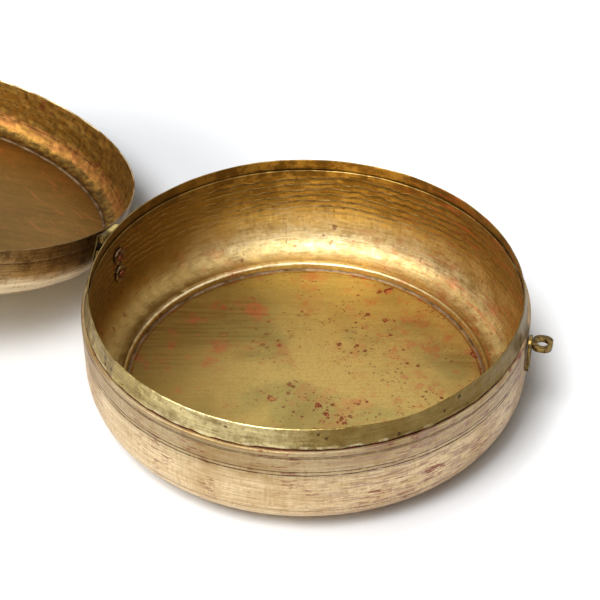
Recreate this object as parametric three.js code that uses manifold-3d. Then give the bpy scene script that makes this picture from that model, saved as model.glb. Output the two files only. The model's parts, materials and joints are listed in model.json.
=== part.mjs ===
// Round brass box for flat bread, open: a deep turned base with a soldered collar, a shallow lid
// held by one riveted strap hinge, and an eye with a loose link that a hasp on the lid drops over.
// Millimetres, +Z up, origin at the centre of the base's underside. The hinge is on the -X side.
import * as THREE from 'three';
import { mergeVertices } from 'three/addons/utils/BufferGeometryUtils.js';
import Module from 'manifold-3d';

const wasm = await Module();
wasm.setup();

// Clearances
const GAP = 0.3; // between pieces that touch or turn on each other
const CUT_OVERRUN = 4; // how far a cutter runs past what it cuts

// Facets and steps
const ROUND_FACETS = 60; // round the base and the lid
const SMALL_FACETS = 16; // round rivets, pins and knuckles
const CURVE_STEPS = 7; // along a bottom or top curve
const BELLY_STEPS = 3;
const SHOULDER_STEPS = 2;
const CORNER_STEPS = 6; // round a drawn corner or hole

// Base
const RIM_RADIUS = 145; // outside of the collar at the rim
const BASE_HEIGHT = 88;
const BASE_SHEET = 1.2;
const BODY_SWELL = 5.2; // widest wall beyond the rim
const BELLY_FALL = 0.3; // how much the wall draws in again below the shoulder
const FOOT_INSET = 24; // widest wall to the foot
const FOOT_STEP = 5.6;
const BASE_CURVE_RISE = 28; // foot step up to the upright wall
const SHOULDER_DROP = 14.9; // rim down to the ledge that carries the lid
const SHOULDER_ROUND = 0.7;
const NECK_RISE = 5; // neck inside the collar, above the ledge

// Collar band, soldered round the neck
const COLLAR_SHEET = 1;
const COLLAR_FLARE = 2; // wider at its lower edge than at the rim

// Lid, drawn closed here and turned open below
const LID_SHEET = 0.8;
const LID_CLEARANCE = 2.1; // lid wall round the collar's lower edge
const LID_DEPTH = 42.7;
const LID_SWELL = 0.2;
const LID_UPRIGHT = 19.6; // lid rim up to the top curve
const LID_STEP = 2.6;
const LID_STEP_INSET = 12; // widest wall to the step round the top

// Hinge
const LID_OPENING = 170.8; // degrees from closed to the hinge's stop
const HINGE_TILT = 8; // degrees that the worn pin leans along the wall
const HINGE_STANDOFF = 4.4; // pin beyond the widest wall
const HINGE_RISE = 2.2; // pin above the ledge
const HINGE_PIN_RADIUS = 1.6;
const HINGE_KNUCKLE_RADIUS = 3.3;
const PIN_HEAD_EXTRA = 0.8; // peened head beyond the pin's radius
const PIN_HEAD_LENGTH = 0.8;
const BARREL_LENGTH = 20;
const OUTER_KNUCKLE_LENGTH = 5.6;
const STRAP_THICKNESS = 1.6;
const STRAP_WIDTH = 20;
const STRAP_SEAT = 0.3; // strap off the widest wall
const BASE_STRAP_LENGTH = 39;
const BASE_RIVET_INSET = 6.2; // strap's round tip up to the lower rivet
const BASE_RIVET_PITCH = 15;
const LID_STRAP_LENGTH = 21;
const LID_STRAP_CORNER = 4;
const LID_RIVET_INSET = 6; // strap's edge to its rivets
const LID_RIVET_SPREAD = 10.8;

// Rivets and the round washers under their peened ends
const RIVET_SHANK_RADIUS = 1.9;
const RIVET_HEAD_RADIUS = 4;
const RIVET_HEAD_HEIGHT = 1.5;
const RIVET_TAIL_RADIUS = 3.2;
const RIVET_TAIL_HEIGHT = 1.2;
const BASE_ROVE_RADIUS = 6.4;
const LID_ROVE_RADIUS = 5;
const ROVE_THICKNESS = 0.9;
const TAIL_FLAT_SHARE = 0.7; // of a tail's radius, flat at its end
const TAIL_EDGE_SHARE = 0.5; // of a tail's height, up to where its edge rounds over
const HEAD_SHOULDER_RADIUS_SHARE = 0.75; // of a head's radius, at the shoulder of its dome
const HEAD_SHOULDER_HEIGHT_SHARE = 0.7; // of a head's height, at the same shoulder

// Eye on the base
const EYE_AZIMUTH = 13; // degrees round from +X
const EYE_DROP = 22; // rim down to the eye
const EYE_LENGTH = 13.4;
const EYE_WIDTH = 15;
const EYE_CORNER = 5.4;
const EYE_THICKNESS = 3;
const EYE_HOLE_RADIUS = 3.7;
const EYE_NECK_RADIUS = 2;
const EYE_SHANK_RADIUS = 1.5;
const EYE_TAIL_RADIUS = 2.8;
const EYE_TAIL_HEIGHT = 1;
const EYE_ROVE_RADIUS = 4.6;

// Loose link that hangs on the eye's neck
const LINK_THICKNESS = 2;
const LINK_BAR = 2.2;
const LINK_WIDTH = 13;
const LINK_LENGTH = 28;

// Hasp on the lid
const HASP_STANDOFF = 3.2; // pin beyond the widest wall
const HASP_RISE = 18; // pin above the eye when the lid is closed
const HASP_PIN_RADIUS = 1.2;
const HASP_KNUCKLE_RADIUS = 2.6;
const HASP_WIDTH = 22;
const HASP_LENGTH = 29.4;
const HASP_THICKNESS = 1.6;
const HASP_MIDDLE_LENGTH = 9.6;
const HASP_SIDE_LENGTH = 5;
const HASP_SLOT_MARGIN = 1.2; // slot wider than the eye on each side
const HASP_SLOT_NEAR = 2.2; // slot's nearer end above the eye's middle
const HASP_SLOT_FAR = 5.9; // slot's farther end below the eye's middle
const BRACKET_WIDTH = 24;
const BRACKET_THICKNESS = 1.2;
const BRACKET_DROP = 9.8; // pin down to the leaf's lower edge
const BRACKET_CORNER = 2;
const BRACKET_RIVET_DROP = 6;
const BRACKET_RIVET_SPREAD = 15.6;
const HASP_RIVET_HEAD_RADIUS = 2.6;
const HASP_RIVET_HEAD_HEIGHT = 1.1;
const HASP_RIVET_SHANK_RADIUS = 1.4;
const HASP_RIVET_TAIL_RADIUS = 2.4;
const HASP_RIVET_TAIL_HEIGHT = 0.6; // flat, to pass outside the collar

// Heights and radii that follow
const TURN = 2 * Math.PI;
const QUARTER_TURN = TURN / 4;
const BODY_RADIUS = RIM_RADIUS + BODY_SWELL;
const FOOT_RADIUS = BODY_RADIUS - FOOT_INSET;
const UPRIGHT_START = FOOT_STEP + BASE_CURVE_RISE;
const LEDGE = BASE_HEIGHT - SHOULDER_DROP;
const COLLAR_BOTTOM = LEDGE + GAP;
const LID_INNER_RADIUS = RIM_RADIUS + COLLAR_FLARE + LID_CLEARANCE;
const LID_BODY_RADIUS = LID_INNER_RADIUS + LID_SHEET + LID_SWELL;
const LID_RIM = LEDGE + GAP;
const LID_CURVE_START = LID_RIM + LID_UPRIGHT;
const LID_TOP = LID_RIM + LID_DEPTH;
const WALL_RADIUS = Math.max(BODY_RADIUS, LID_BODY_RADIUS);
const LID_CURVE_RISE = LID_DEPTH - LID_STEP - LID_UPRIGHT;
const HINGE_RADIUS = WALL_RADIUS + HINGE_STANDOFF;
const HINGE_HEIGHT = LEDGE + HINGE_RISE;
const EYE_HEIGHT = BASE_HEIGHT - EYE_DROP;
const HASP_RADIUS = WALL_RADIUS + HASP_STANDOFF;
const HASP_HEIGHT = EYE_HEIGHT + HASP_RISE;

// Outside radius of the base's wall at a height above its foot step
function baseOuterRadius(height) {
  if (height < UPRIGHT_START) {
    const share = (UPRIGHT_START - height) / BASE_CURVE_RISE;
    return FOOT_RADIUS + FOOT_INSET * Math.sqrt(1 - share * share);
  }
  const share = (height - UPRIGHT_START) / (LEDGE - UPRIGHT_START);
  return BODY_RADIUS - BELLY_FALL * share * share;
}

// Outside radius of the closed lid's wall at a height
function lidOuterRadius(height) {
  if (height > LID_CURVE_START) {
    const share = (height - LID_CURVE_START) / LID_CURVE_RISE;
    return LID_BODY_RADIUS - LID_STEP_INSET * (1 - Math.sqrt(1 - share * share));
  }
  const share = (height - LID_RIM) / LID_UPRIGHT;
  return LID_BODY_RADIUS - LID_SWELL * (1 - share) * (1 - share);
}

// Outside radius of the collar at a height
function collarOuterRadius(height) {
  return RIM_RADIUS + (COLLAR_FLARE * (BASE_HEIGHT - height)) / (BASE_HEIGHT - COLLAR_BOTTOM);
}

// Distance from the axis of a flat washer's outer face, laid inside a hollow wall
function washerFace(outerRadiusAt, sheet, height, washerRadius, along = 0) {
  const edges = [height - washerRadius, height + washerRadius].map(outerRadiusAt);
  const inside = Math.min(...edges) - sheet;
  const facetSag = inside * (1 - Math.cos(TURN / 2 / ROUND_FACETS));
  return Math.sqrt(inside ** 2 - (Math.abs(along) + washerRadius) ** 2) - facetSag - GAP;
}

// Evenly stepped shares from 0 to 1
function sharesOf(steps) {
  return Array.from({ length: steps + 1 }, (_, step) => step / steps);
}

// Quarter of an ellipse between its axis end on the z side and its widest point
function quarterEllipse(centreRadius, centreHeight, reach, rise, steps) {
  return sharesOf(steps).map((share) => {
    const angle = share * QUARTER_TURN;
    const radius = centreRadius + reach * Math.sin(angle);
    return new THREE.Vector2(radius, centreHeight + rise * Math.cos(angle));
  });
}

// Closed outline of sheet metal laid evenly to both sides of its midline, given as radius and height
function sheetOutline(midline, thickness) {
  const sides = midline.map((point, index) => {
    const before = midline[Math.max(index - 1, 0)];
    const after = midline[Math.min(index + 1, midline.length - 1)];
    const arriving = point.clone().sub(before).normalize();
    const leaving = after.clone().sub(point).normalize();
    const along = arriving.clone().add(leaving).normalize();
    const mitre = along.dot(index > 0 ? arriving : leaving);
    const offset = new THREE.Vector2(-along.y, along.x).multiplyScalar(thickness / 2 / mitre);
    return [point.clone().add(offset), point.clone().sub(offset)];
  });
  const left = sides.map(([near]) => near);
  const right = sides.map(([, far]) => far).reverse();
  return [...left, ...right, left[0].clone()];
}

// Geometry with merged corners and faces that point out
function closedGeometry(source) {
  const bare = source.index ? source.toNonIndexed() : source.clone();
  bare.deleteAttribute('normal');
  bare.deleteAttribute('uv');
  const merged = mergeVertices(bare);
  const place = merged.attributes.position;
  const index = Array.from(merged.index.array);
  const corners = [new THREE.Vector3(), new THREE.Vector3(), new THREE.Vector3()];
  const kept = [];
  let volume = 0;
  for (let first = 0; first < index.length; first += corners.length) {
    const triangle = index.slice(first, first + corners.length);
    if (new Set(triangle).size < corners.length) continue;
    const [a, b, c] = triangle.map((vertex, corner) => corners[corner].fromBufferAttribute(place, vertex));
    volume += a.dot(b.clone().cross(c));
    kept.push(triangle);
  }
  merged.setIndex(kept.flatMap((triangle) => (volume < 0 ? triangle.reverse() : triangle)));
  return merged;
}

function solidOf(geometry) {
  const closed = closedGeometry(geometry);
  const mesh = new wasm.Mesh({
    numProp: 3,
    vertProperties: new Float32Array(closed.attributes.position.array),
    triVerts: new Uint32Array(closed.index.array),
  });
  return new wasm.Manifold(mesh);
}

function geometryOf(solid) {
  const mesh = solid.getMesh();
  const geometry = new THREE.BufferGeometry();
  geometry.setAttribute('position', new THREE.BufferAttribute(new Float32Array(mesh.vertProperties), 3));
  geometry.setIndex(Array.from(mesh.triVerts));
  geometry.computeVertexNormals();
  return geometry;
}

function joined(geometries) {
  return geometries.map(solidOf).reduce((whole, piece) => whole.add(piece));
}

function cutAway(solid, cutters) {
  return cutters.map(solidOf).reduce((rest, cutter) => rest.subtract(cutter), solid);
}

// Turned piece about Z from an outline of radii and heights
function turned(outline, facets = ROUND_FACETS) {
  return new THREE.LatheGeometry(outline, facets).rotateX(QUARTER_TURN);
}

// Turned piece about X, its outline's heights becoming distances along X
function turnedAlongX(outline, facets = SMALL_FACETS) {
  return new THREE.LatheGeometry(outline, facets).rotateZ(-QUARTER_TURN);
}

function outlineOf(pairs) {
  return pairs.map(([radius, height]) => new THREE.Vector2(radius, height));
}

// Solid rod about Y between two places on it
function rodAlongY(radius, from, to) {
  const rod = new THREE.CylinderGeometry(radius, radius, to - from, SMALL_FACETS);
  return rod.translate(0, (from + to) / 2, 0);
}

// Solid rod about X between two places on it
function rodAlongX(radius, from, to) {
  return rodAlongY(radius, from, to).rotateZ(-QUARTER_TURN);
}

// Prism up Z whose section is drawn in X and Y
function prismAlongZ(shape, depth) {
  return new THREE.ExtrudeGeometry(shape, { depth, bevelEnabled: false, curveSegments: CORNER_STEPS });
}

// Prism along X whose section is drawn in Y and Z
function prismAlongX(shape, from, to) {
  return prismAlongZ(shape, to - from).rotateX(QUARTER_TURN).rotateZ(QUARTER_TURN).translate(from, 0, 0);
}

// Rectangle with round corners, centred on its width, from one height to another
function roundedRectangle(width, low, high, corner, path = new THREE.Shape()) {
  const side = width / 2;
  path.moveTo(-side + corner, low);
  path.lineTo(side - corner, low);
  path.absarc(side - corner, low + corner, corner, -QUARTER_TURN, 0, false);
  path.lineTo(side, high - corner);
  path.absarc(side - corner, high - corner, corner, 0, QUARTER_TURN, false);
  path.lineTo(-side + corner, high);
  path.absarc(-side + corner, high - corner, corner, QUARTER_TURN, 2 * QUARTER_TURN, false);
  path.lineTo(-side, low + corner);
  path.absarc(-side + corner, low + corner, corner, 2 * QUARTER_TURN, 3 * QUARTER_TURN, false);
  return path;
}

// Tongue with one round end, drawn from a straight edge at one height to the tip at another
function tongue(width, straight, tip) {
  const side = width / 2;
  const towards = Math.sign(tip - straight);
  const shape = new THREE.Shape();
  shape.moveTo(-side, straight);
  shape.lineTo(side, straight);
  shape.lineTo(side, tip - towards * side);
  shape.absarc(0, tip - towards * side, side, 0, towards * 2 * QUARTER_TURN, towards < 0);
  return shape;
}

// Plate cut to a shape and curved round the Z axis, drawn with X pointing out of the wall
function curvedPlate(shape, innerRadius, thickness, low, high) {
  const outer = innerRadius + thickness;
  const ring = outlineOf([
    [innerRadius, low],
    [outer, low],
    [outer, high],
    [innerRadius, high],
    [innerRadius, low],
  ]);
  return solidOf(turned(ring, 2 * ROUND_FACETS)).intersect(solidOf(prismAlongX(shape, 0, outer + CUT_OVERRUN)));
}

// Rivet along X: peened tail at its inner end, shank, domed head at its outer end
function rivet(inner, outer, shankRadius, tailRadius, tailHeight, headRadius, headHeight) {
  return turnedAlongX(
    outlineOf([
      [0, inner - tailHeight],
      [tailRadius * TAIL_FLAT_SHARE, inner - tailHeight],
      [tailRadius, inner - tailHeight * TAIL_EDGE_SHARE],
      [tailRadius, inner],
      [shankRadius, inner],
      [shankRadius, outer],
      [headRadius, outer],
      [headRadius * HEAD_SHOULDER_RADIUS_SHARE, outer + headHeight * HEAD_SHOULDER_HEIGHT_SHARE],
      [0, outer + headHeight],
    ]),
  );
}

// Flat washer about X with a hole for its rivet
function rove(radius, holeRadius, outer) {
  return turnedAlongX(
    outlineOf([
      [holeRadius, outer - ROVE_THICKNESS],
      [radius, outer - ROVE_THICKNESS],
      [radius, outer],
      [holeRadius, outer],
      [holeRadius, outer - ROVE_THICKNESS],
    ]),
  );
}

// Materials
function brass(colour, roughness) {
  return new THREE.MeshStandardMaterial({ color: colour, roughness, metalness: 1 });
}
const OUTSIDE_BRASS = brass(0xc2a46a, 0.45);
const FLOOR_BRASS = brass(0xb08f3c, 0.4);
const COLLAR_BRASS = brass(0xb8963f, 0.4);
const LID_BRASS = brass(0x9a7338, 0.45);
const FITTING_BRASS = brass(0x7d6a33, 0.5);
const KNUCKLE_BRASS = brass(0xc9b26b, 0.4);
const COPPER = brass(0xa85a3c, 0.45);

function piece(name, geometry, material) {
  const mesh = new THREE.Mesh(geometry, material);
  mesh.name = name;
  return mesh;
}

// Frames of the hinge and the eye: X out of the wall, Y along it, Z up
const hingeFrame = new THREE.Matrix4()
  .makeRotationZ(2 * QUARTER_TURN)
  .setPosition(-HINGE_RADIUS, 0, HINGE_HEIGHT);
const hingeSideFrame = new THREE.Matrix4().makeRotationZ(2 * QUARTER_TURN);
const eyeSideFrame = new THREE.Matrix4().makeRotationZ(THREE.MathUtils.degToRad(EYE_AZIMUTH));

// Hole along X for a shank, at a place along a wall and a height
function shankHole(radius, wallRadius, along, height) {
  const hole = rodAlongX(radius + GAP, wallRadius - CUT_OVERRUN, wallRadius + CUT_OVERRUN);
  return hole.translate(0, along, height);
}

const baseStrapTip = HINGE_HEIGHT - BASE_STRAP_LENGTH;
const lidStrapTip = HINGE_HEIGHT + LID_STRAP_LENGTH;
const lowerRivetHeight = baseStrapTip + BASE_RIVET_INSET;
const baseRivetHeights = [lowerRivetHeight + BASE_RIVET_PITCH, lowerRivetHeight];
const lidRivetHeight = lidStrapTip - LID_RIVET_INSET;
const lidRivetPlaces = [-LID_RIVET_SPREAD / 2, LID_RIVET_SPREAD / 2];
const haspRivetHeight = HASP_HEIGHT - BRACKET_RIVET_DROP;
const haspRivetPlaces = [-BRACKET_RIVET_SPREAD / 2, BRACKET_RIVET_SPREAD / 2];

// Base wall: foot step, bottom curve, belly, ledge and neck in one sheet
function baseWall() {
  const half = BASE_SHEET / 2;
  const footRadius = FOOT_RADIUS - half;
  const reach = BODY_RADIUS - half - footRadius;
  const curve = quarterEllipse(footRadius, UPRIGHT_START, reach, -BASE_CURVE_RISE, CURVE_STEPS);
  const bellyTop = LEDGE - half - SHOULDER_ROUND;
  const belly = sharesOf(BELLY_STEPS).slice(1).map((share) => {
    const height = UPRIGHT_START + share * (bellyTop - UPRIGHT_START);
    return new THREE.Vector2(baseOuterRadius(height) - half, height);
  });
  const roundCentre = belly[belly.length - 1].x - SHOULDER_ROUND;
  const shoulder = quarterEllipse(roundCentre, bellyTop, SHOULDER_ROUND, SHOULDER_ROUND, SHOULDER_STEPS);
  const neck = [LEDGE - half, LEDGE + NECK_RISE].map((height) => {
    const seat = collarOuterRadius(height) - COLLAR_SHEET - GAP - half;
    return new THREE.Vector2(seat, height);
  });
  const foot = new THREE.Vector2(footRadius, 0);
  const midline = [foot, ...curve, ...belly, ...shoulder.reverse().slice(1), ...neck];
  const hingeHoles = baseRivetHeights.map((height) =>
    shankHole(RIVET_SHANK_RADIUS, baseOuterRadius(height), 0, height).applyMatrix4(hingeSideFrame),
  );
  const eyeHole = shankHole(EYE_SHANK_RADIUS, baseOuterRadius(EYE_HEIGHT), 0, EYE_HEIGHT);
  const holes = [...hingeHoles, eyeHole.applyMatrix4(eyeSideFrame)];
  return geometryOf(cutAway(solidOf(turned(sheetOutline(midline, BASE_SHEET))), holes));
}

// Floor disc, soldered inside the foot
function baseFloor() {
  const radius = FOOT_RADIUS - BASE_SHEET - GAP;
  return closedGeometry(turned(outlineOf([
    [0, 0],
    [radius, 0],
    [radius, BASE_SHEET],
    [0, BASE_SHEET],
  ])));
}

// Collar band: a flared ring from the rim down to just above the ledge
function collarBand() {
  const midline = [BASE_HEIGHT, COLLAR_BOTTOM].map(
    (height) => new THREE.Vector2(collarOuterRadius(height) - COLLAR_SHEET / 2, height),
  );
  return closedGeometry(turned(sheetOutline(midline, COLLAR_SHEET)));
}

// Lid wall, closed: rim over the collar, top curve and the step that the top disc sits in
function lidWall() {
  const half = LID_SHEET / 2;
  const stepRadius = LID_BODY_RADIUS - LID_STEP_INSET - half;
  const upright = sharesOf(BELLY_STEPS).map((share) => {
    const height = LID_RIM + share * LID_UPRIGHT;
    return new THREE.Vector2(lidOuterRadius(height) - half, height);
  });
  const curve = quarterEllipse(stepRadius, LID_CURVE_START, LID_STEP_INSET, LID_CURVE_RISE, CURVE_STEPS);
  const midline = [...upright, ...curve.reverse().slice(1), new THREE.Vector2(stepRadius, LID_TOP)];
  const hingeHoles = lidRivetPlaces.map((along) =>
    shankHole(RIVET_SHANK_RADIUS, LID_BODY_RADIUS, along, lidRivetHeight).applyMatrix4(hingeSideFrame),
  );
  const haspHoles = haspRivetPlaces.map((along) =>
    shankHole(HASP_RIVET_SHANK_RADIUS, LID_BODY_RADIUS, along, haspRivetHeight).applyMatrix4(eyeSideFrame),
  );
  const holes = [...hingeHoles, ...haspHoles];
  return geometryOf(cutAway(solidOf(turned(sheetOutline(midline, LID_SHEET))), holes));
}

// Lid top: a flat disc inside the step
function lidTop() {
  const radius = LID_BODY_RADIUS - LID_STEP_INSET - LID_SHEET - GAP;
  return closedGeometry(turned(outlineOf([
    [0, LID_TOP - LID_SHEET],
    [radius, LID_TOP - LID_SHEET],
    [radius, LID_TOP],
    [0, LID_TOP],
  ])));
}

// Hinge straps, drawn in the hinge's frame, with their knuckles round the leaning pin
const barrelEnd = BARREL_LENGTH / 2;
const middleEnd = barrelEnd - OUTER_KNUCKLE_LENGTH - GAP;
const outerSpans = [[-barrelEnd, -middleEnd - GAP], [middleEnd + GAP, barrelEnd]];
const middleSpans = [[-middleEnd, middleEnd]];

function leaning(geometry) {
  return geometry.rotateX(THREE.MathUtils.degToRad(HINGE_TILT));
}

function hingeStrap(leaf, ownSpans, otherSpans) {
  const knuckles = ownSpans.map(([from, to]) => leaning(rodAlongY(HINGE_KNUCKLE_RADIUS, from, to)));
  const clearances = otherSpans.map(([from, to]) =>
    leaning(rodAlongY(HINGE_KNUCKLE_RADIUS + GAP, from - GAP, to + GAP)),
  );
  const bore = leaning(rodAlongY(HINGE_PIN_RADIUS + GAP, -BARREL_LENGTH, BARREL_LENGTH));
  const whole = cutAway(leaf, clearances).add(joined(knuckles));
  return cutAway(whole, [bore]);
}

// Riveted leaf of a strap, with its rivet holes given as places along the wall and heights
function strapLeaf(shape, low, high, rivetPlaces) {
  const leaf = curvedPlate(shape, WALL_RADIUS + STRAP_SEAT, STRAP_THICKNESS, low, high);
  const holes = rivetPlaces.map(([along, height]) =>
    shankHole(RIVET_SHANK_RADIUS, WALL_RADIUS, along, height),
  );
  return cutAway(leaf, holes).translate([-HINGE_RADIUS, 0, -HINGE_HEIGHT]);
}

function baseHingeStrap() {
  const shape = tongue(STRAP_WIDTH, HINGE_HEIGHT, baseStrapTip);
  const places = baseRivetHeights.map((height) => [0, height]);
  const leaf = strapLeaf(shape, baseStrapTip - CUT_OVERRUN, HINGE_HEIGHT + CUT_OVERRUN, places);
  return geometryOf(hingeStrap(leaf, outerSpans, middleSpans));
}

function lidHingeStrap() {
  const shape = roundedRectangle(STRAP_WIDTH, HINGE_HEIGHT - LID_STRAP_CORNER, lidStrapTip, LID_STRAP_CORNER);
  const places = lidRivetPlaces.map((along) => [along, lidRivetHeight]);
  const leaf = strapLeaf(shape, HINGE_HEIGHT, lidStrapTip + CUT_OVERRUN, places);
  return geometryOf(hingeStrap(leaf, middleSpans, outerSpans));
}

// Pin with a peened head at both ends, about Y
function headedPin(radius, barrelLength) {
  const shank = barrelLength / 2 + GAP;
  const head = radius + PIN_HEAD_EXTRA;
  const pin = new THREE.LatheGeometry(
    outlineOf([
      [0, -shank - PIN_HEAD_LENGTH],
      [head, -shank - PIN_HEAD_LENGTH],
      [head, -shank],
      [radius, -shank],
      [radius, shank],
      [head, shank],
      [head, shank + PIN_HEAD_LENGTH],
      [0, shank + PIN_HEAD_LENGTH],
    ]),
    SMALL_FACETS,
  );
  return closedGeometry(pin);
}

// Rivet and washer through a strap and a wall, from the washer's face inside the wall
function strapRivet(face) {
  const inner = face - ROVE_THICKNESS - GAP;
  const outer = WALL_RADIUS + STRAP_SEAT + STRAP_THICKNESS + GAP;
  return closedGeometry(
    rivet(
      inner,
      outer,
      RIVET_SHANK_RADIUS,
      RIVET_TAIL_RADIUS,
      RIVET_TAIL_HEIGHT,
      RIVET_HEAD_RADIUS,
      RIVET_HEAD_HEIGHT,
    ),
  );
}

function strapRove(face, radius) {
  return closedGeometry(rove(radius, RIVET_SHANK_RADIUS + GAP, face));
}

// Eye: a flat squared ring on a neck, with a shank peened over a washer inside the wall
const eyeWall = baseOuterRadius(EYE_HEIGHT);
const linkInside = eyeWall + 2 * GAP;
const eyeNear = linkInside + LINK_THICKNESS + GAP;
const eyeRoveFace = washerFace(baseOuterRadius, BASE_SHEET, EYE_HEIGHT, EYE_ROVE_RADIUS);
const eyeTail = eyeRoveFace - ROVE_THICKNESS - GAP;

function stapleEye() {
  const ringShape = roundedRectangle(EYE_WIDTH, eyeNear, eyeNear + EYE_LENGTH, EYE_CORNER);
  const hole = new THREE.Path();
  hole.absarc(0, eyeNear + EYE_LENGTH / 2, EYE_HOLE_RADIUS, 0, TURN, false);
  ringShape.holes.push(hole);
  const ring = prismAlongZ(ringShape, EYE_THICKNESS);
  ring.translate(0, 0, -EYE_THICKNESS / 2).rotateZ(-QUARTER_TURN);
  const stem = turnedAlongX(
    outlineOf([
      [0, eyeTail - EYE_TAIL_HEIGHT],
      [EYE_TAIL_RADIUS, eyeTail - EYE_TAIL_HEIGHT],
      [EYE_TAIL_RADIUS, eyeTail],
      [EYE_SHANK_RADIUS, eyeTail],
      [EYE_SHANK_RADIUS, eyeWall + GAP],
      [EYE_NECK_RADIUS, eyeWall + GAP],
      [EYE_NECK_RADIUS, eyeNear + EYE_NECK_RADIUS],
      [0, eyeNear + EYE_NECK_RADIUS],
    ]),
  );
  return geometryOf(joined([ring, stem]));
}

function stapleRove() {
  return closedGeometry(rove(EYE_ROVE_RADIUS, EYE_SHANK_RADIUS + GAP, eyeRoveFace));
}

// Loose link: a long oval ring, hanging with its top bar just clear of the neck
function stapleLink() {
  const top = EYE_NECK_RADIUS + GAP + LINK_BAR;
  const shape = roundedRectangle(LINK_WIDTH, top - LINK_LENGTH, top, LINK_WIDTH / 2);
  const holeWidth = LINK_WIDTH - 2 * LINK_BAR;
  const holeTop = top - LINK_BAR;
  const holeLow = top - LINK_LENGTH + LINK_BAR;
  shape.holes.push(roundedRectangle(holeWidth, holeLow, holeTop, holeWidth / 2, new THREE.Path()));
  return closedGeometry(prismAlongX(shape, linkInside, linkInside + LINK_THICKNESS));
}

// Hasp bracket and strap, drawn with the pin at the origin of the hasp's frame
const haspMiddleEnd = HASP_MIDDLE_LENGTH / 2;
const haspBarrelEnd = haspMiddleEnd + GAP + HASP_SIDE_LENGTH;
const haspSideSpans = [[-haspBarrelEnd, -haspMiddleEnd - GAP], [haspMiddleEnd + GAP, haspBarrelEnd]];

function haspBracket() {
  const low = HASP_HEIGHT - BRACKET_DROP;
  const shape = roundedRectangle(BRACKET_WIDTH, low, HASP_HEIGHT, BRACKET_CORNER);
  const inner = LID_BODY_RADIUS + GAP;
  const plate = curvedPlate(shape, inner, BRACKET_THICKNESS, low - CUT_OVERRUN, HASP_HEIGHT + CUT_OVERRUN);
  const holes = haspRivetPlaces.map((along) =>
    shankHole(HASP_RIVET_SHANK_RADIUS, inner, along, haspRivetHeight),
  );
  const leaf = cutAway(plate, holes).translate([-HASP_RADIUS, 0, -HASP_HEIGHT]);
  const clearance = rodAlongY(HASP_KNUCKLE_RADIUS + GAP, -haspMiddleEnd - GAP, haspMiddleEnd + GAP);
  const knuckles = haspSideSpans.map(([from, to]) => rodAlongY(HASP_KNUCKLE_RADIUS, from, to));
  const bore = rodAlongY(HASP_PIN_RADIUS + GAP, -BRACKET_WIDTH, BRACKET_WIDTH);
  return geometryOf(cutAway(cutAway(leaf, [clearance]).add(joined(knuckles)), [bore]));
}

// Strap lying up along the lid: a tongue with a slot, set to the wall's side of its knuckle
function haspStrap() {
  const inside = -HASP_KNUCKLE_RADIUS;
  const shape = tongue(HASP_WIDTH, 0, HASP_LENGTH);
  const slotLow = HASP_RISE - HASP_SLOT_NEAR;
  const slotHigh = HASP_RISE + HASP_SLOT_FAR;
  const slotWidth = EYE_WIDTH + 2 * HASP_SLOT_MARGIN;
  shape.holes.push(roundedRectangle(slotWidth, slotLow, slotHigh, HASP_SLOT_NEAR, new THREE.Path()));
  const plate = prismAlongX(shape, inside, inside + HASP_THICKNESS);
  const knuckle = rodAlongY(HASP_KNUCKLE_RADIUS, -haspMiddleEnd, haspMiddleEnd);
  const clearances = [
    rodAlongY(HASP_KNUCKLE_RADIUS + GAP, -HASP_WIDTH, -haspMiddleEnd),
    rodAlongY(HASP_KNUCKLE_RADIUS + GAP, haspMiddleEnd, HASP_WIDTH),
  ];
  const bore = rodAlongY(HASP_PIN_RADIUS + GAP, -HASP_WIDTH, HASP_WIDTH);
  return geometryOf(cutAway(cutAway(solidOf(plate), clearances).add(solidOf(knuckle)), [bore]));
}

// Rivet of the bracket, peened flat against the inside of the lid
function haspRivet(along) {
  const inner = washerFace(lidOuterRadius, LID_SHEET, haspRivetHeight, HASP_RIVET_TAIL_RADIUS, along);
  const outer = LID_BODY_RADIUS + GAP + BRACKET_THICKNESS + GAP;
  return closedGeometry(
    rivet(
      inner,
      outer,
      HASP_RIVET_SHANK_RADIUS,
      HASP_RIVET_TAIL_RADIUS,
      HASP_RIVET_TAIL_HEIGHT,
      HASP_RIVET_HEAD_RADIUS,
      HASP_RIVET_HEAD_HEIGHT,
    ),
  );
}

// Groups for the sides where fittings sit
function sideGroup(frame) {
  const group = new THREE.Group();
  group.applyMatrix4(frame);
  return group;
}

function baseAssembly() {
  const group = new THREE.Group();
  group.add(piece('base_wall', baseWall(), OUTSIDE_BRASS));
  group.add(piece('base_floor', baseFloor(), FLOOR_BRASS));
  group.add(piece('collar_band', collarBand(), COLLAR_BRASS));

  const hinge = sideGroup(hingeFrame);
  hinge.add(piece('base_hinge_strap', baseHingeStrap(), KNUCKLE_BRASS));
  hinge.add(piece('hinge_pin', leaning(headedPin(HINGE_PIN_RADIUS, BARREL_LENGTH)), COPPER));
  const hingeSide = sideGroup(hingeSideFrame);
  ['upper', 'lower'].forEach((level, index) => {
    const height = baseRivetHeights[index];
    const face = washerFace(baseOuterRadius, BASE_SHEET, height, BASE_ROVE_RADIUS);
    const peened = piece(`base_hinge_rivet_${level}`, strapRivet(face), COPPER);
    const washer = piece(`base_hinge_rove_${level}`, strapRove(face, BASE_ROVE_RADIUS), KNUCKLE_BRASS);
    for (const part of [peened, washer]) part.position.z = height;
    hingeSide.add(peened, washer);
  });

  const eyeSide = sideGroup(eyeSideFrame);
  const eyeParts = [
    piece('staple_eye', stapleEye(), FITTING_BRASS),
    piece('staple_rove', stapleRove(), FITTING_BRASS),
    piece('staple_link', stapleLink(), FITTING_BRASS),
  ];
  for (const part of eyeParts) part.position.z = EYE_HEIGHT;
  eyeSide.add(...eyeParts);

  group.add(hinge, hingeSide, eyeSide);
  return group;
}

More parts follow.
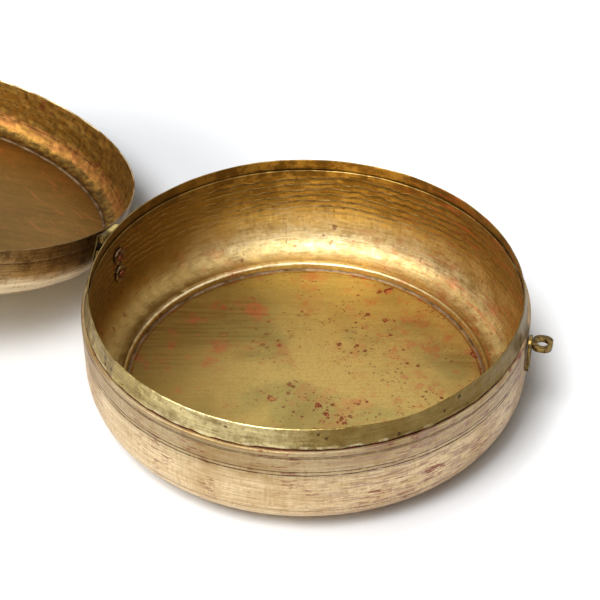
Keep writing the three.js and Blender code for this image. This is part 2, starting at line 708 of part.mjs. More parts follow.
function lidAssembly() {
  const closed = new THREE.Group();
  closed.add(piece('lid_wall', lidWall(), LID_BRASS));
  closed.add(piece('lid_top', lidTop(), LID_BRASS));

  const hinge = sideGroup(hingeFrame);
  hinge.add(piece('lid_hinge_strap', lidHingeStrap(), KNUCKLE_BRASS));
  const hingeSide = sideGroup(hingeSideFrame);
  ['left', 'right'].forEach((place, index) => {
    const along = lidRivetPlaces[index];
    const face = washerFace(lidOuterRadius, LID_SHEET, lidRivetHeight, LID_ROVE_RADIUS, along);
    const peened = piece(`lid_hinge_rivet_${place}`, strapRivet(face), COPPER);
    const washer = piece(`lid_hinge_rove_${place}`, strapRove(face, LID_ROVE_RADIUS), KNUCKLE_BRASS);
    for (const part of [peened, washer]) part.position.set(0, along, lidRivetHeight);
    hingeSide.add(peened, washer);
  });

  const haspSide = sideGroup(eyeSideFrame);
  const haspParts = [
    piece('hasp_bracket', haspBracket(), FITTING_BRASS),
    piece('hasp_strap', haspStrap(), FITTING_BRASS),
    piece('hasp_pin', headedPin(HASP_PIN_RADIUS, 2 * haspBarrelEnd), FITTING_BRASS),
  ];
  for (const part of haspParts) part.position.set(HASP_RADIUS, 0, HASP_HEIGHT);
  haspSide.add(...haspParts);
  ['left', 'right'].forEach((place, index) => {
    const along = haspRivetPlaces[index];
    const peened = piece(`hasp_rivet_${place}`, haspRivet(along), COPPER);
    peened.position.set(0, along, haspRivetHeight);
    haspSide.add(peened);
  });

  closed.add(hinge, hingeSide, haspSide);
  return closed;
}

// Lid turned open about the leaning pin
function openedAboutHinge(closed) {
  const lean = THREE.MathUtils.degToRad(HINGE_TILT);
  const pin = new THREE.Vector3(0, -Math.cos(lean), Math.sin(lean));
  const turning = new THREE.Group();
  turning.position.set(-HINGE_RADIUS, 0, HINGE_HEIGHT);
  turning.quaternion.setFromAxisAngle(pin, THREE.MathUtils.degToRad(LID_OPENING));
  closed.position.set(HINGE_RADIUS, 0, -HINGE_HEIGHT);
  turning.add(closed);
  return turning;
}

const box = new THREE.Group();
box.add(baseAssembly(), openedAboutHinge(lidAssembly()));
export default box;
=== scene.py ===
"""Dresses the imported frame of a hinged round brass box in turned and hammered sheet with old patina"""
import json
import math

import bpy
from mathutils import Matrix, Vector, noise


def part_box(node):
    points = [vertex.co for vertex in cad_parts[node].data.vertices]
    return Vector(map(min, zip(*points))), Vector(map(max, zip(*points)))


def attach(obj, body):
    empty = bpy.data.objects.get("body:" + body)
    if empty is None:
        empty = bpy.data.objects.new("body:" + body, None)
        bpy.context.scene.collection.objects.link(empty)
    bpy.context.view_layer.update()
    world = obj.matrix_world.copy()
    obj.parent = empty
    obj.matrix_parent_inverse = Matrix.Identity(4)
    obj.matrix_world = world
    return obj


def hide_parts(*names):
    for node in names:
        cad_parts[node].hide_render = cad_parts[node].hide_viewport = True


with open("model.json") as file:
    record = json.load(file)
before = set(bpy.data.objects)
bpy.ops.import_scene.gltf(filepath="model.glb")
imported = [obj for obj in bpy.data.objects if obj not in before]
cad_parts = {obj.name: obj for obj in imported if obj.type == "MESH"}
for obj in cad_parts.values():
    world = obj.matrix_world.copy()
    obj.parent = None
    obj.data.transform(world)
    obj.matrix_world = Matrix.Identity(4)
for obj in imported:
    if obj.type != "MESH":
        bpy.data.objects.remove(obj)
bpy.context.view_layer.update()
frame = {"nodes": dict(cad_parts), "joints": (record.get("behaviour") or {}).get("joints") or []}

bl_info = {
    "name": "Hinged Round Brass Box",
    "version": (1, 0, 0),
    "blender": (4, 5, 0),
    "location": "3D View > Sidebar > Brass Box",
    "description": "Builds the dressed pieces of an old hinged brass box round its packed frame",
    "category": "Object",
}

MM = 0.001
TURN = 2 * math.pi
UP = Vector((0, 0, 1))

# Turned pieces: points round them, sectors that the spin is done in, points of a curve, and how points join
SHELL_STEPS = 360
BEAD_STEPS = 240
SECTORS = 20
CURVE_STEPS = 16
MERGE_DISTANCE = 0.00001
FINE_MERGE_DISTANCE = MERGE_DISTANCE / 10
SMOOTH_ANGLE = math.radians(35)

# Fittings: joined flat faces, edges that are rounded, and how much on those that differ from the rest
FLAT_ANGLE = math.radians(1)
ROUNDED_ANGLE = math.radians(32)
EYE_EDGE = 0.0009
LINK_EDGE = 0.0006
SMALL_RIVET_EDGE = 0.0002

# Discs: points round them, the way between their rings and how high their faces wave
DISC_STEPS = 120
DISC_PITCH = 0.006
DISC_WAVE = 0.0003

# Where the collar's rim shows wear, and over how wide a part, in degrees
WORN_AZIMUTH = -36
WORN_SPREAD = 9

# The closed lid's frame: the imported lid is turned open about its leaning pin
lid_joint = next(joint for joint in frame["joints"] if joint["name"] == "lid_hinge")
PIN_PLACE = Vector(lid_joint["pos_m"])
CLOSING = (
    Matrix.Translation(PIN_PLACE)
    @ Matrix.Rotation(math.radians(lid_joint["range_deg"][1]), 4, Vector(lid_joint["axis"]))
    @ Matrix.Translation(-PIN_PLACE)
)
OPENING = CLOSING.inverted()
EYE_CENTRE = sum(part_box("staple_eye"), Vector()) / 2
EYE_ROOT = EYE_CENTRE.xy.normalized().to_3d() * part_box("base_wall")[1].y + UP * EYE_CENTRE.z


def tone(code):
    """Linear colour of a shade written as on a screen, such as 0xC8A468"""
    channels = [(code >> shift & 255) / 255 for shift in (16, 8, 0)]
    return tuple(c / 12.92 if c <= 0.04045 else ((c + 0.055) / 1.055) ** 2.4 for c in channels)


def length_property(name, description, default):
    return bpy.props.FloatProperty(
        name=name,
        description=description,
        default=default,
        min=0,
        subtype="DISTANCE",
        unit="LENGTH",
        precision=4,
    )


def colour_property(name, description, code):
    return bpy.props.FloatVectorProperty(
        name=name, description=description, default=tone(code), min=0, max=1, subtype="COLOR"
    )


def share_property(name, description, default):
    return bpy.props.FloatProperty(
        name=name, description=description, default=default, min=0, max=1, subtype="FACTOR"
    )


def power_property(name, description, default):
    return bpy.props.FloatProperty(name=name, description=description, default=default, min=0, unit="POWER")


# Settings that a user would change

class BoxSizes(bpy.types.PropertyGroup):
    height: length_property("Base height", "Rim of the base above the table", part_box("collar_band")[1].z)
    body: length_property("Body radius", "Widest radius of the base's wall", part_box("base_wall")[1].y)
    rim: length_property("Rim radius", "Outside radius of the collar at the rim", 0.145)
    ledge: length_property("Ledge height", "Ledge that the closed lid stands on", 0.0731)
    foot: length_property("Foot radius", "Radius of the short foot step", 0.1262)
    foot_step: length_property("Foot step", "Height of the foot step", 0.0056)
    foot_fillet: length_property("Foot fillet", "Rounding of the step round the base's floor", 0.0018)
    curve_rise: length_property("Curve rise", "Height of the bottom curve", 0.028)
    fullness: length_property("Curve fullness", "How much fuller than an ellipse the bottom curve is", 0.0008)
    sheet: length_property("Base sheet", "Thickness of the base's sheet", 0.0012)
    collar_sheet: length_property("Collar sheet", "Thickness of the collar band", 0.001)
    collar_foot: length_property("Collar foot radius", "Radius of the collar's lower edge", 0.1477)
    neck: length_property("Neck height", "Neck inside the collar, above the table", 0.0781)
    lid: length_property("Lid radius", "Widest radius of the lid", 0.1501)
    lid_sheet: length_property("Lid sheet", "Thickness of the lid's sheet", 0.0008)
    lid_upright: length_property("Lid upright", "Height where the closed lid's top curve starts", 0.093)
    lid_top: length_property("Lid top", "Top of the closed lid above the table", 0.1161)
    lid_step: length_property("Lid step radius", "Radius of the step round the lid's top disc", 0.1381)
    dent: length_property("Dent depth", "How far the old wall is out of true", 0.0004)
    edge: length_property("Fitting edges", "Rounding of the edges of straps and fittings", 0.0003)


class BoxFinishes(bpy.types.PropertyGroup):
    outside: colour_property("Outside brass", "Worn beige brass of the base's outside", 0xEDD7AE)
    outside_dull: colour_property("Outside dull", "Duller patches of the outside", 0xB4925F)
    lilac: colour_property("Outside lilac", "Purple-brown tarnish of the outside", 0x94736A)
    inside: colour_property("Inside brass", "Gold brass inside the base", 0xE4C682)
    # Also laid on as painted shade: inner walls towards the left and right, the lip and the foot of the
    # bottom curve, and the floor towards the left
    inside_dark: colour_property("Inside dark", "Brown patina inside the base", 0x8C6C30)
    # Painted highlight: pale tone laid where light shines on the brass, in the bottom curve, on the floor's
    # lip, on the collar's front and lower edge, and round the lid's rim
    highlight_cream: colour_property("Inside cream", "Worn bright band inside the bottom curve", 0xFFF0C4)
    floor: colour_property("Floor brass", "Olive gold of the base's floor", 0xCCB068)
    floor_dull: colour_property("Floor dull", "Brown patches of the floor", 0x9C773C)
    olive: colour_property("Olive", "Olive patches of old brass", 0x9A9256)
    collar: colour_property("Collar brass", "Yellow brass of the collar band", 0xE8D28A)
    # Also laid on as painted shade on the collar's right and left sides
    collar_dark: colour_property("Collar dark", "Olive patina of the collar band", 0x735A2C)
    lid_brass: colour_property("Lid brass", "Brown gold of the lid's inside", 0xA47C3A)
    # Also laid on as painted shade on the left inner wall of the base, on the lid's upright outer wall and on
    # the hinge straps
    lid_dark: colour_property("Lid dark", "Dark brown patina of the lid", 0x4C361A)
    orange: colour_property("Lid orange", "Orange streaks inside the lid's curve", 0xBE7A44)
    copper: colour_property("Copper", "Copper-red patches", 0xC26C48)
    rivet: colour_property("Rivets", "Dull red copper of the rivets", 0x9C5840)
    rust_red: colour_property("Red spots", "Dark red corrosion spots", 0x7C3428)
    groove_dark: colour_property("Grooves", "Dirt in grooves and seams", 0x3E2A1C)
    solder: colour_property("Solder", "Grey-brown solder round the discs", 0x87705A)
    fitting: colour_property("Fittings", "Dark olive brass of the eye, link and hasp", 0x9C8248)
    knuckle: colour_property("Knuckles", "Bright brass of the hinge", 0xDCC67E)
    washer: colour_property("Washers", "Worn metal of the washers", 0xB09A7C)
    polish: share_property("Roughness", "Roughness of clean brass", 0.34)


class BoxStage(bpy.types.PropertyGroup):
    key_power: power_property("Key light", "Power of the high lamp on the left front", 50)
    fill_power: power_property("Fill light", "Power of the lamp above the camera", 28)
    side_power: power_property("Side light", "Power of the lamp on the left", 15)
    sky: share_property("Sky light", "Strength of the even light all round", 0.03)
    horizon: share_property(
        "Horizon", "Strength of the sky that brass mirrors low down, where overhead is white", 0.4
    )
    floor_shade: share_property("Floor shade", "Lightness of the pale floor", 0.94)
    floor_lift: share_property(
        "Floor lift", "White added to the floor clear of the box, where it is looked at", 0.45
    )


# Modelling helpers


def deselect_all():
    if bpy.context.object and bpy.context.object.mode != "OBJECT":
        bpy.ops.object.mode_set(mode="OBJECT")
    bpy.ops.object.select_all(action="DESELECT")


def make_active(piece):
    deselect_all()
    piece.select_set(True)
    bpy.context.view_layer.objects.active = piece


def spun(name, outline, steps=SHELL_STEPS):
    """Draws an outline of radii and heights point by point, in metres, and spins it round the Z axis"""
    deselect_all()
    start = Vector((outline[0][0], 0, outline[0][1]))
    bpy.ops.mesh.primitive_plane_add(size=MM, location=start)
    piece = bpy.context.object
    piece.name = piece.data.name = name
    bpy.ops.object.mode_set(mode="EDIT")
    bpy.ops.mesh.merge(type="CENTER")
    for (radius, height), (next_radius, next_height) in zip(outline, outline[1:]):
        step = (next_radius - radius, 0, next_height - height)
        bpy.ops.mesh.extrude_vertices_move(TRANSFORM_OT_translate={"value": step})
    bpy.ops.mesh.select_all(action="SELECT")
    bpy.ops.mesh.spin(steps=steps // SECTORS, angle=TURN / SECTORS, center=(0, 0, 0), axis=(0, 0, 1))
    bpy.ops.mesh.select_all(action="SELECT")
    rest = TURN * (SECTORS - 1) / SECTORS
    bpy.ops.mesh.spin(steps=SECTORS - 1, dupli=True, angle=rest, center=(0, 0, 0), axis=(0, 0, 1))
    bpy.ops.mesh.select_all(action="SELECT")
    bpy.ops.mesh.remove_doubles(threshold=MERGE_DISTANCE)
    bpy.ops.mesh.normals_make_consistent(inside=False)
    bpy.ops.object.mode_set(mode="OBJECT")
    bpy.ops.object.transform_apply(location=True, rotation=True, scale=True)
    return piece


def worked(piece, blow):
    """Moves the points of a turned piece by hammer blows: blow gives the way out and up in metres"""
    normals = [point.normal.copy() for point in piece.data.vertices]
    for point, normal in zip(piece.data.vertices, normals):
        place = point.co
        radius = math.hypot(place.x, place.y)
        if radius < MM:
            continue
        across = Vector((place.x / radius, place.y / radius, 0))
        out, up = blow(place.copy(), radius, normal.dot(across) < 0)
        point.co = place + across * out + UP * up
    piece.data.update()
    return piece


def waves(place, size, seed):
    """Smooth unevenness from -1 to 1 with waves of about a given size"""
    return noise.noise(place / size + Vector((seed, seed * 0.37, -seed)))


def smoothed(piece):
    make_active(piece)
    bpy.ops.object.shade_smooth_by_angle(angle=SMOOTH_ANGLE)
    return piece


def dressed_copy(name, edge, segments):
    """A CAD node's own shape with its triangles merged, its flat faces joined and its edges rounded"""
    piece = bpy.data.objects.new(name + "_dressed", frame["nodes"][name].data.copy())
    bpy.context.scene.collection.objects.link(piece)
    make_active(piece)
    bpy.ops.object.mode_set(mode="EDIT")
    bpy.ops.mesh.select_all(action="SELECT")
    bpy.ops.mesh.remove_doubles(threshold=FINE_MERGE_DISTANCE)
    bpy.ops.mesh.dissolve_limited(angle_limit=FLAT_ANGLE)
    bpy.ops.object.mode_set(mode="OBJECT")
    rounding = piece.modifiers.new("Rounded edges", "BEVEL")
    rounding.width = edge
    rounding.segments = segments
    rounding.limit_method = "ANGLE"
    rounding.angle_limit = ROUNDED_ANGLE
    bpy.ops.object.modifier_apply(modifier=rounding.name)
    return smoothed(piece)


def roughened(piece, amount, size, seed):
    """Moves the points of a small piece a little, all ways, as on a piece cut and beaten by hand"""
    for point in piece.data.vertices:
        place = point.co.copy()
        point.co = place + Vector([amount * waves(place, size, seed + axis) for axis in range(3)])
    piece.data.update()
    return piece


def finished(piece, body, slot, metals, *nodes):
    """Gives a piece its metals by name, its body and the nodes it stands for; the slot argument is not used
    """
    if piece.data.materials:
        piece.data.materials.clear()
    for metal in metals:
        piece.data.materials.append(bpy.data.materials[metal])
    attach(piece, body)
    if nodes:
        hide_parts(*nodes)
    return piece


def dressed(name, body, slot, metal, edge, segments=2, beaten=None):
    """Dresses one CAD node in its own shape, beaten by an amount, a size and a seed if they are given"""
    piece = dressed_copy(name, edge, segments)
    if beaten:
        roughened(piece, *beaten)
    return finished(piece, body, slot, [metal], name)


def turned_open(piece):
    """Turns a piece drawn on the closed lid to where the open lid holds it"""
    make_active(piece)
    piece.matrix_world = OPENING
    bpy.ops.object.transform_apply(location=True, rotation=True, scale=True)
    return piece


def flat_disc(name, edge, low, high, lift, size, seed):
    """Turns a disc between two heights and lifts it, with waves of a given size"""
    radii = even_steps(0, edge, DISC_PITCH)
    outline = [(radius, low) for radius in radii] + [(radius, high) for radius in radii[::-1]]

    def blow(place, radius, inside):
        return 0, lift + DISC_WAVE * waves(Vector((place.x, place.y, 0)), size, seed)

    return smoothed(worked(spun(name, outline, DISC_STEPS), blow))


def solder_bead(name, outline, out, up, seed, body, metal):
    """Turns a bead of solder; out and up are the depth and the size of its waves each way"""

    def blow(place, radius, inside):
        return out[0] * waves(place, out[1], seed), up[0] * waves(place, up[1], seed + 1)

    bead = smoothed(worked(spun(name, outline + outline[:1], BEAD_STEPS), blow))
    if body == "lid":
        turned_open(bead)
    return finished(bead, body, "copper", [metal])


def quarter_curve(centre_radius, centre_height, reach, rise, steps=CURVE_STEPS):
    """Points of a quarter ellipse, from its end below or above the centre out to its widest point"""
    points = []
    for step in range(steps + 1):
        angle = step / steps * TURN / 4
        points.append((centre_radius + reach * math.sin(angle), centre_height + rise * math.cos(angle)))
    return points


def curve_points(low, high, steps, fullness):
    """Points of a bottom curve, from its low inner end up to its high outer end, given as (radius, height)"""
    points = []
    for step in range(steps + 1):
        angle = step / steps * TURN / 4
        out, down = math.sin(angle), math.cos(angle)
        bulge = fullness * math.sin(2 * angle) ** 2
        radius = low[0] + (high[0] - low[0]) * out + bulge * out
        points.append((radius, high[1] - (high[1] - low[1]) * down - bulge * down))
    return points


def grooved(points, grooves):
    """Adds V-shaped grooves, given as height, depth and width, to an outline that rises up a wall"""
    points = list(points)
    for level, depth, width in grooves:
        low, high = level - width / 2, level + width / 2
        radius = radius_at(points, level)
        kept = [point for point in points if not low <= point[1] <= high]
        cut = [(radius_at(points, low), low), (radius - depth, level), (radius_at(points, high), high)]
        points = sorted(kept + cut, key=lambda point: point[1])
    return points


def radius_at(points, level):
    for (radius, height), (next_radius, next_height) in zip(points, points[1:]):
        if height <= level <= next_height:
            return radius + (next_radius - radius) * (level - height) / (next_height - height)
    raise ValueError("a groove lies outside its wall")


def even_steps(low, high, pitch):
    count = max(1, round((high - low) / pitch))
    return [low + (high - low) * step / count for step in range(count + 1)]


# Material helpers


def tree_of(values):
    """The node tree of the first socket among the values"""
    return next(value.id_data for value in values if isinstance(value, bpy.types.NodeSocket))


def feed(socket, value):
    """Links a socket to another one, or sets its value"""
    if isinstance(value, bpy.types.NodeSocket):
        socket.id_data.links.new(value, socket)
    elif socket.type == "RGBA":
        socket.default_value = (*value[:3], 1)
    else:
        socket.default_value = value


def node(kind, inputs, **settings):
    """Adds a node with its settings and feeds its inputs"""
    made = tree_of(inputs.values()).nodes.new(kind)
    for name, value in settings.items():
        setattr(made, name, value)
    for name, value in inputs.items():
        feed(made.inputs[name], value)
    return made


def sums(operation, first, second=0.0, third=0.0, clamp=False):
    inputs = {0: first, 1: second}
    if operation in ("MULTIPLY_ADD", "SMOOTH_MIN", "COMPARE", "WRAP"):
        inputs[2] = third
    return node("ShaderNodeMath", inputs, operation=operation, use_clamp=clamp).outputs[0]


def times(*values):
    """Product of the values"""
    product = values[0]
    for value in values[1:]:
        product = sums("MULTIPLY", product, value)
    return product


def vectors(operation, first, second=(0, 0, 0), result=0):
    return node("ShaderNodeVectorMath", {0: first, 1: second}, operation=operation).outputs[result]


def length_of(vector):
    return vectors("LENGTH", vector, result="Value")


def ramped(value, low, high, new_low=0.0, new_high=1.0):
    """Smooth step of a value between two limits"""
    inputs = {"Value": value, "From Min": low, "From Max": high, "To Min": new_low, "To Max": new_high}
    return node("ShaderNodeMapRange", inputs, interpolation_type="SMOOTHSTEP").outputs["Result"]


def laid_over(below, above, *shares):
    """Colour above laid over colour below by the product of the shares"""
    made = tree_of((below, above, *shares)).nodes.new("ShaderNodeMix")
    made.data_type = "RGBA"
    for index, value in ((0, times(*shares)), (6, below), (7, above)):
        feed(made.inputs[index], value)
    return made.outputs[2]


def noise_value(vector, scale, detail=4.0, roughness=0.6, distortion=0.0):
    inputs = {
        "Vector": vector, "Scale": scale, "Detail": detail, "Roughness": roughness, "Distortion": distortion
    }
    return node("ShaderNodeTexNoise", inputs).outputs[0]


def new_group(name, inputs, outputs):
    """A shader node group with named sockets, given as (name, kind, default)"""
    group = bpy.data.node_groups.new(name, "ShaderNodeTree")
    for label, kind, default in inputs:
        socket = group.interface.new_socket(name=label, in_out="INPUT", socket_type=kind)
        if default is not None:
            socket.default_value = default
    for label, kind in outputs:
        group.interface.new_socket(name=label, in_out="OUTPUT", socket_type=kind)
    entry = group.nodes.new("NodeGroupInput")
    leave = group.nodes.new("NodeGroupOutput")
    return entry.outputs, leave.inputs


def grouped(name, inputs):
    made = tree_of(inputs.values()).nodes.new("ShaderNodeGroup")
    made.node_tree = bpy.data.node_groups[name]
    for label, value in inputs.items():
        feed(made.inputs[label], value)
    return made.outputs


FLOAT, VECTOR, COLOUR = "NodeSocketFloat", "NodeSocketVector", "NodeSocketColor"


def build_turning_place():
    """Radius, height and the way along the section of a turned piece, from its place"""
    given, out = new_group(
        "Turning Place", [("Vector", VECTOR, None)], [("Radius", FLOAT), ("Height", FLOAT), ("Along", FLOAT)]
    )
    split = node("ShaderNodeSeparateXYZ", {0: given["Vector"]})
    squares = [times(split.outputs[axis], split.outputs[axis]) for axis in (0, 1)]
    radius = sums("SQRT", sums("ADD", *squares))
    feed(out["Radius"], radius)
    feed(out["Height"], split.outputs[2])
    feed(out["Along"], sums("ADD", radius, split.outputs[2]))


def build_lathe_lines():
    """Fine lines left by turning: they run round the piece and break up along their way"""
    given, out = new_group(
        "Lathe Lines",
        [
            ("Vector", VECTOR, None),
            ("Fineness", FLOAT, 900.0),
            ("Run", FLOAT, 12.0),
            ("Sharpness", FLOAT, 0.2),
        ],
        [("Mask", FLOAT), ("Height", FLOAT)],
    )
    along = turning_place(given["Vector"])["Along"]
    split = node("ShaderNodeSeparateXYZ", {0: given["Vector"]})
    inputs = {
        0: times(split.outputs[0], given["Run"]),
        1: times(split.outputs[1], given["Run"]),
        2: times(along, given["Fineness"]),
    }
    stretched = node("ShaderNodeCombineXYZ", inputs).outputs[0]
    lines = noise_value(stretched, 1.0, detail=3.0, roughness=0.7)
    low = sums("SUBTRACT", 0.5, given["Sharpness"])
    high = sums("ADD", 0.5, given["Sharpness"])
    feed(out["Mask"], ramped(lines, low, high))
    feed(out["Height"], lines)


def build_patina():
    """Clouded mix of two tones of old brass, with a fine grain over both"""
    given, out = new_group(
        "Patina",
        [
            ("Vector", VECTOR, None),
            ("Scale", FLOAT, 30.0),
            ("Bright", COLOUR, None),
            ("Dull", COLOUR, None),
            ("Balance", FLOAT, 0.5),
            ("Softness", FLOAT, 0.15),
            ("Grain", FLOAT, 0.3),
        ],
        [("Color", COLOUR)],
    )
    clouds = noise_value(given["Vector"], given["Scale"], detail=7.0, roughness=0.66, distortion=0.3)
    low = sums("SUBTRACT", given["Balance"], given["Softness"])
    high = sums("ADD", given["Balance"], given["Softness"])
    mask = ramped(clouds, low, high)
    colour = laid_over(given["Bright"], given["Dull"], mask)
    grain = ramped(noise_value(given["Vector"], 520.0, detail=3.0, roughness=0.75), 0.42, 0.66)
    colour = laid_over(colour, given["Dull"], grain, given["Grain"])
    feed(out["Color"], colour)


def build_corrosion_spots():
    """Uneven corrosion spots with a darker rim, gathered where clouds allow"""
    given, out = new_group(
        "Corrosion Spots",
        [
            ("Vector", VECTOR, None),
            ("Scale", FLOAT, 90.0),
            ("Size", FLOAT, 0.3),
            ("Gathering", FLOAT, 0.5),
            ("Patch Scale", FLOAT, 14.0),
        ],
        [("Mask", FLOAT), ("Rim", FLOAT)],
    )
    wobble = node(
        "ShaderNodeTexNoise",
        {
            "Vector": given["Vector"],
            "Scale": times(given["Scale"], 2.2),
            "Detail": 4,
            "Roughness": 0.7,
        },
    ).outputs["Color"]
    shift = vectors("SUBTRACT", wobble, (0.5, 0.5, 0.5))
    reach = sums("DIVIDE", 0.9, given["Scale"])
    scaled = node("ShaderNodeVectorMath", {0: shift, "Scale": reach}, operation="SCALE").outputs[0]
    place = vectors("ADD", given["Vector"], scaled)
    cells = node("ShaderNodeTexVoronoi", {"Vector": place, "Scale": given["Scale"]})
    chance = node("ShaderNodeSeparateColor", {0: cells.outputs["Color"]})
    size = times(sums("POWER", chance.outputs[0], 3.0), given["Size"])
    clouds = noise_value(given["Vector"], given["Patch Scale"], detail=3.0)
    allowed = ramped(clouds, given["Gathering"], sums("ADD", given["Gathering"], 0.12))
    reach = times(size, allowed)
    distance = cells.outputs["Distance"]
    inner = times(reach, 0.7)
    mask = ramped(sums("SUBTRACT", reach, distance), 0.0, 0.06)
    core = ramped(sums("SUBTRACT", inner, distance), 0.0, 0.08)
    feed(out["Mask"], mask)
    feed(out["Rim"], sums("SUBTRACT", mask, core, clamp=True))


def build_hammer_marks():
    """Shallow dishes left by a hammer"""
    given, out = new_group(
        "Hammer Marks", [("Vector", VECTOR, None), ("Scale", FLOAT, 120.0)], [("Height", FLOAT)]
    )
    cells = node(
        "ShaderNodeTexVoronoi",
        {"Vector": given["Vector"], "Scale": given["Scale"], "Smoothness": 0.4},
        feature="SMOOTH_F1",
    )
    feed(out["Height"], cells.outputs["Distance"])


def build_hammered_rows():
    """Rows of overlapping hammer marks round a wall: their height and the dark line under each ridge"""
    given, out = new_group(
        "Hammered Rows",
        [("Vector", VECTOR, None), ("Pitch", FLOAT, 0.0052), ("Marks", FLOAT, 105.0)],
        [("Height", FLOAT), ("Shade", FLOAT)],
    )
    level = turning_place(given["Vector"])["Height"]
    marks = node("ShaderNodeTexVoronoi", {"Vector": given["Vector"], "Scale": given["Marks"]})
    short = sums(
        "SUBTRACT", noise_value(given["Vector"], 210.0, detail=3.0, roughness=0.65), 0.5
    )
    long = sums("SUBTRACT", noise_value(given["Vector"], 16.0, detail=0.0), 0.5)
    wave = sums("MULTIPLY_ADD", marks.outputs["Distance"], 0.42, times(long, 1.2))
    wave = sums("MULTIPLY_ADD", short, 0.35, wave)
    row = sums("SUBTRACT", sums("DIVIDE", level, given["Pitch"]), wave)
    part = sums("FRACT", row)
    scoop = sums("SINE", times(part, math.pi))
    feed(out["Height"], scoop)
    line = times(ramped(part, 0.6, 0.93), ramped(part, 1.0, 0.95))
    broken = ramped(noise_value(given["Vector"], 95.0, detail=3.0), 0.4, 0.6, 0.1, 1.0)
    feed(out["Shade"], times(line, broken))


def build_scratches():
    """Thin scratches at all angles"""
    given, out = new_group(
        "Scratches", [
            ("Vector", VECTOR, None), ("Scale", FLOAT, 60.0), ("Amount", FLOAT, 0.5)
        ], [("Mask", FLOAT)]
    )
    masks = []
    for angle, stretch in ((0.4, 1.0), (1.7, 1.3), (2.6, 0.8)):
        turned = node(
            "ShaderNodeMapping",
            {"Vector": given["Vector"], "Rotation": (0.3, 0.2, angle)},
        ).outputs[0]
        stretched = vectors("MULTIPLY", turned, (stretch, 0.06, stretch))
        lines = noise_value(stretched, times(given["Scale"], 6.0), detail=1.0)
        thin = sums("ABSOLUTE", sums("SUBTRACT", lines, 0.5))
        masks.append(ramped(thin, 0.006, 0.0))
    patch = ramped(noise_value(given["Vector"], given["Scale"], detail=1.0), 0.45, 0.62)
    strongest = sums("MAXIMUM", sums("MAXIMUM", masks[0], masks[1]), masks[2])
    shown = times(strongest, patch, given["Amount"])
    feed(out["Mask"], shown)


def build_ring_line():
    """A dirty line round a turned piece at one level, a little uneven"""
    given, out = new_group(
        "Ring Line",
        [("Value", FLOAT, 0.0), ("Level", FLOAT, 0.05), ("Width", FLOAT, 0.0005), ("Vector", VECTOR, None)],
        [("Mask", FLOAT)],
    )
    uneven = sums("SUBTRACT", noise_value(given["Vector"], 60.0, detail=3.0), 0.5)
    shifted = sums("MULTIPLY_ADD", uneven, given["Width"], given["Value"])
    away = sums("ABSOLUTE", sums("SUBTRACT", shifted, given["Level"]))
    inner = times(given["Width"], 0.35)
    line = ramped(away, given["Width"], inner)
    broken = ramped(noise_value(given["Vector"], 160.0, detail=2.0), 0.25, 0.5)
    feed(out["Mask"], times(line, broken))


def build_woven_wear():
    """Short crossing strokes, up and down and round the piece, as on wiped and scoured brass"""
    given, out = new_group(
        "Woven Wear", [("Vector", VECTOR, None), ("Fineness", FLOAT, 520.0)], [
            ("Mask", FLOAT), ("Height", FLOAT)
        ]
    )
    upright = node("ShaderNodeMapping", {"Vector": given["Vector"], "Scale": (1, 1, 0.14)}).outputs[0]
    level = node("ShaderNodeMapping", {"Vector": given["Vector"], "Scale": (0.12, 0.12, 1)}).outputs[0]
    first = noise_value(upright, given["Fineness"], detail=2.0, roughness=0.7)
    second = noise_value(level, times(given["Fineness"], 1.3), detail=2.0, roughness=0.7)
    both = sums("MULTIPLY_ADD", second, 0.6, times(first, 0.4))
    feed(out["Mask"], ramped(both, 0.5, 0.62))
    feed(out["Height"], both)


def build_groups():
    for build in (
        build_turning_place,
        build_lathe_lines,
        build_patina,
        build_corrosion_spots,
        build_hammer_marks,
        build_hammered_rows,
        build_scratches,
        build_ring_line,
        build_woven_wear,
    ):
        build()


def turning_place(place):
    return grouped("Turning Place", {"Vector": place})


def lathe_lines(place, fineness, run, sharpness):
    return grouped(
        "Lathe Lines", {"Vector": place, "Fineness": fineness, "Run": run, "Sharpness": sharpness}
    )


def patina(place, scale, bright, dull, balance=0.5):
    inputs = {"Vector": place, "Scale": scale, "Bright": bright, "Dull": dull, "Balance": balance}
    return grouped("Patina", inputs)["Color"]


def corrosion(place, scale, size, gathering, patch_scale):
    inputs = {
        "Vector": place, "Scale": scale, "Size": size, "Gathering": gathering, "Patch Scale": patch_scale
    }
    return grouped("Corrosion Spots", inputs)


def hammer_marks(place, scale):
    return grouped("Hammer Marks", {"Vector": place, "Scale": scale})["Height"]


def ring_line(place, value, level, width):
    return grouped(
        "Ring Line", {"Value": value, "Level": level, "Width": width, "Vector": place}
    )["Mask"]


def woven_wear(place, fineness=520.0):
    return grouped("Woven Wear", {"Vector": place, "Fineness": fineness})


def stroke_noise(place, turn, stretch, detail, distortion):
    """Noise drawn out into strokes that lie at an angle on a flat disc"""
    turned = node("ShaderNodeMapping", {"Vector": place, "Rotation": (0, 0, turn)}).outputs[0]
    return noise_value(
        vectors("MULTIPLY", turned, stretch), 1.0, detail=detail, distortion=distortion
    )


def new_metal(name, closed_lid=False):
    """A bare metal: its shader and the place on the piece, turned to the closed lid if asked"""
    material = bpy.data.materials.new(name)
    material.use_nodes = True
    tree = material.node_tree
    shader = tree.nodes["Principled BSDF"]
    shader.inputs["Metallic"].default_value = 1
    place = tree.nodes.new("ShaderNodeTexCoord").outputs["Object"]
    if closed_lid:
        inputs = {"Vector": place, "Rotation": CLOSING.to_euler("XYZ"), "Location": CLOSING.translation}
        place = node("ShaderNodeMapping", inputs, vector_type="POINT").outputs[0]
    return shader, place


def towards(place, azimuth, low, high):
    """How far a place lies towards an azimuth in degrees, as a smooth share"""
    way = (math.cos(math.radians(azimuth)), math.sin(math.radians(azimuth)), 0)
    flat = vectors("MULTIPLY", place, (1, 1, 0))
    unit = vectors("NORMALIZE", flat)
    dot = vectors("DOT_PRODUCT", unit, way, "Value")
    return ramped(dot, low, high)


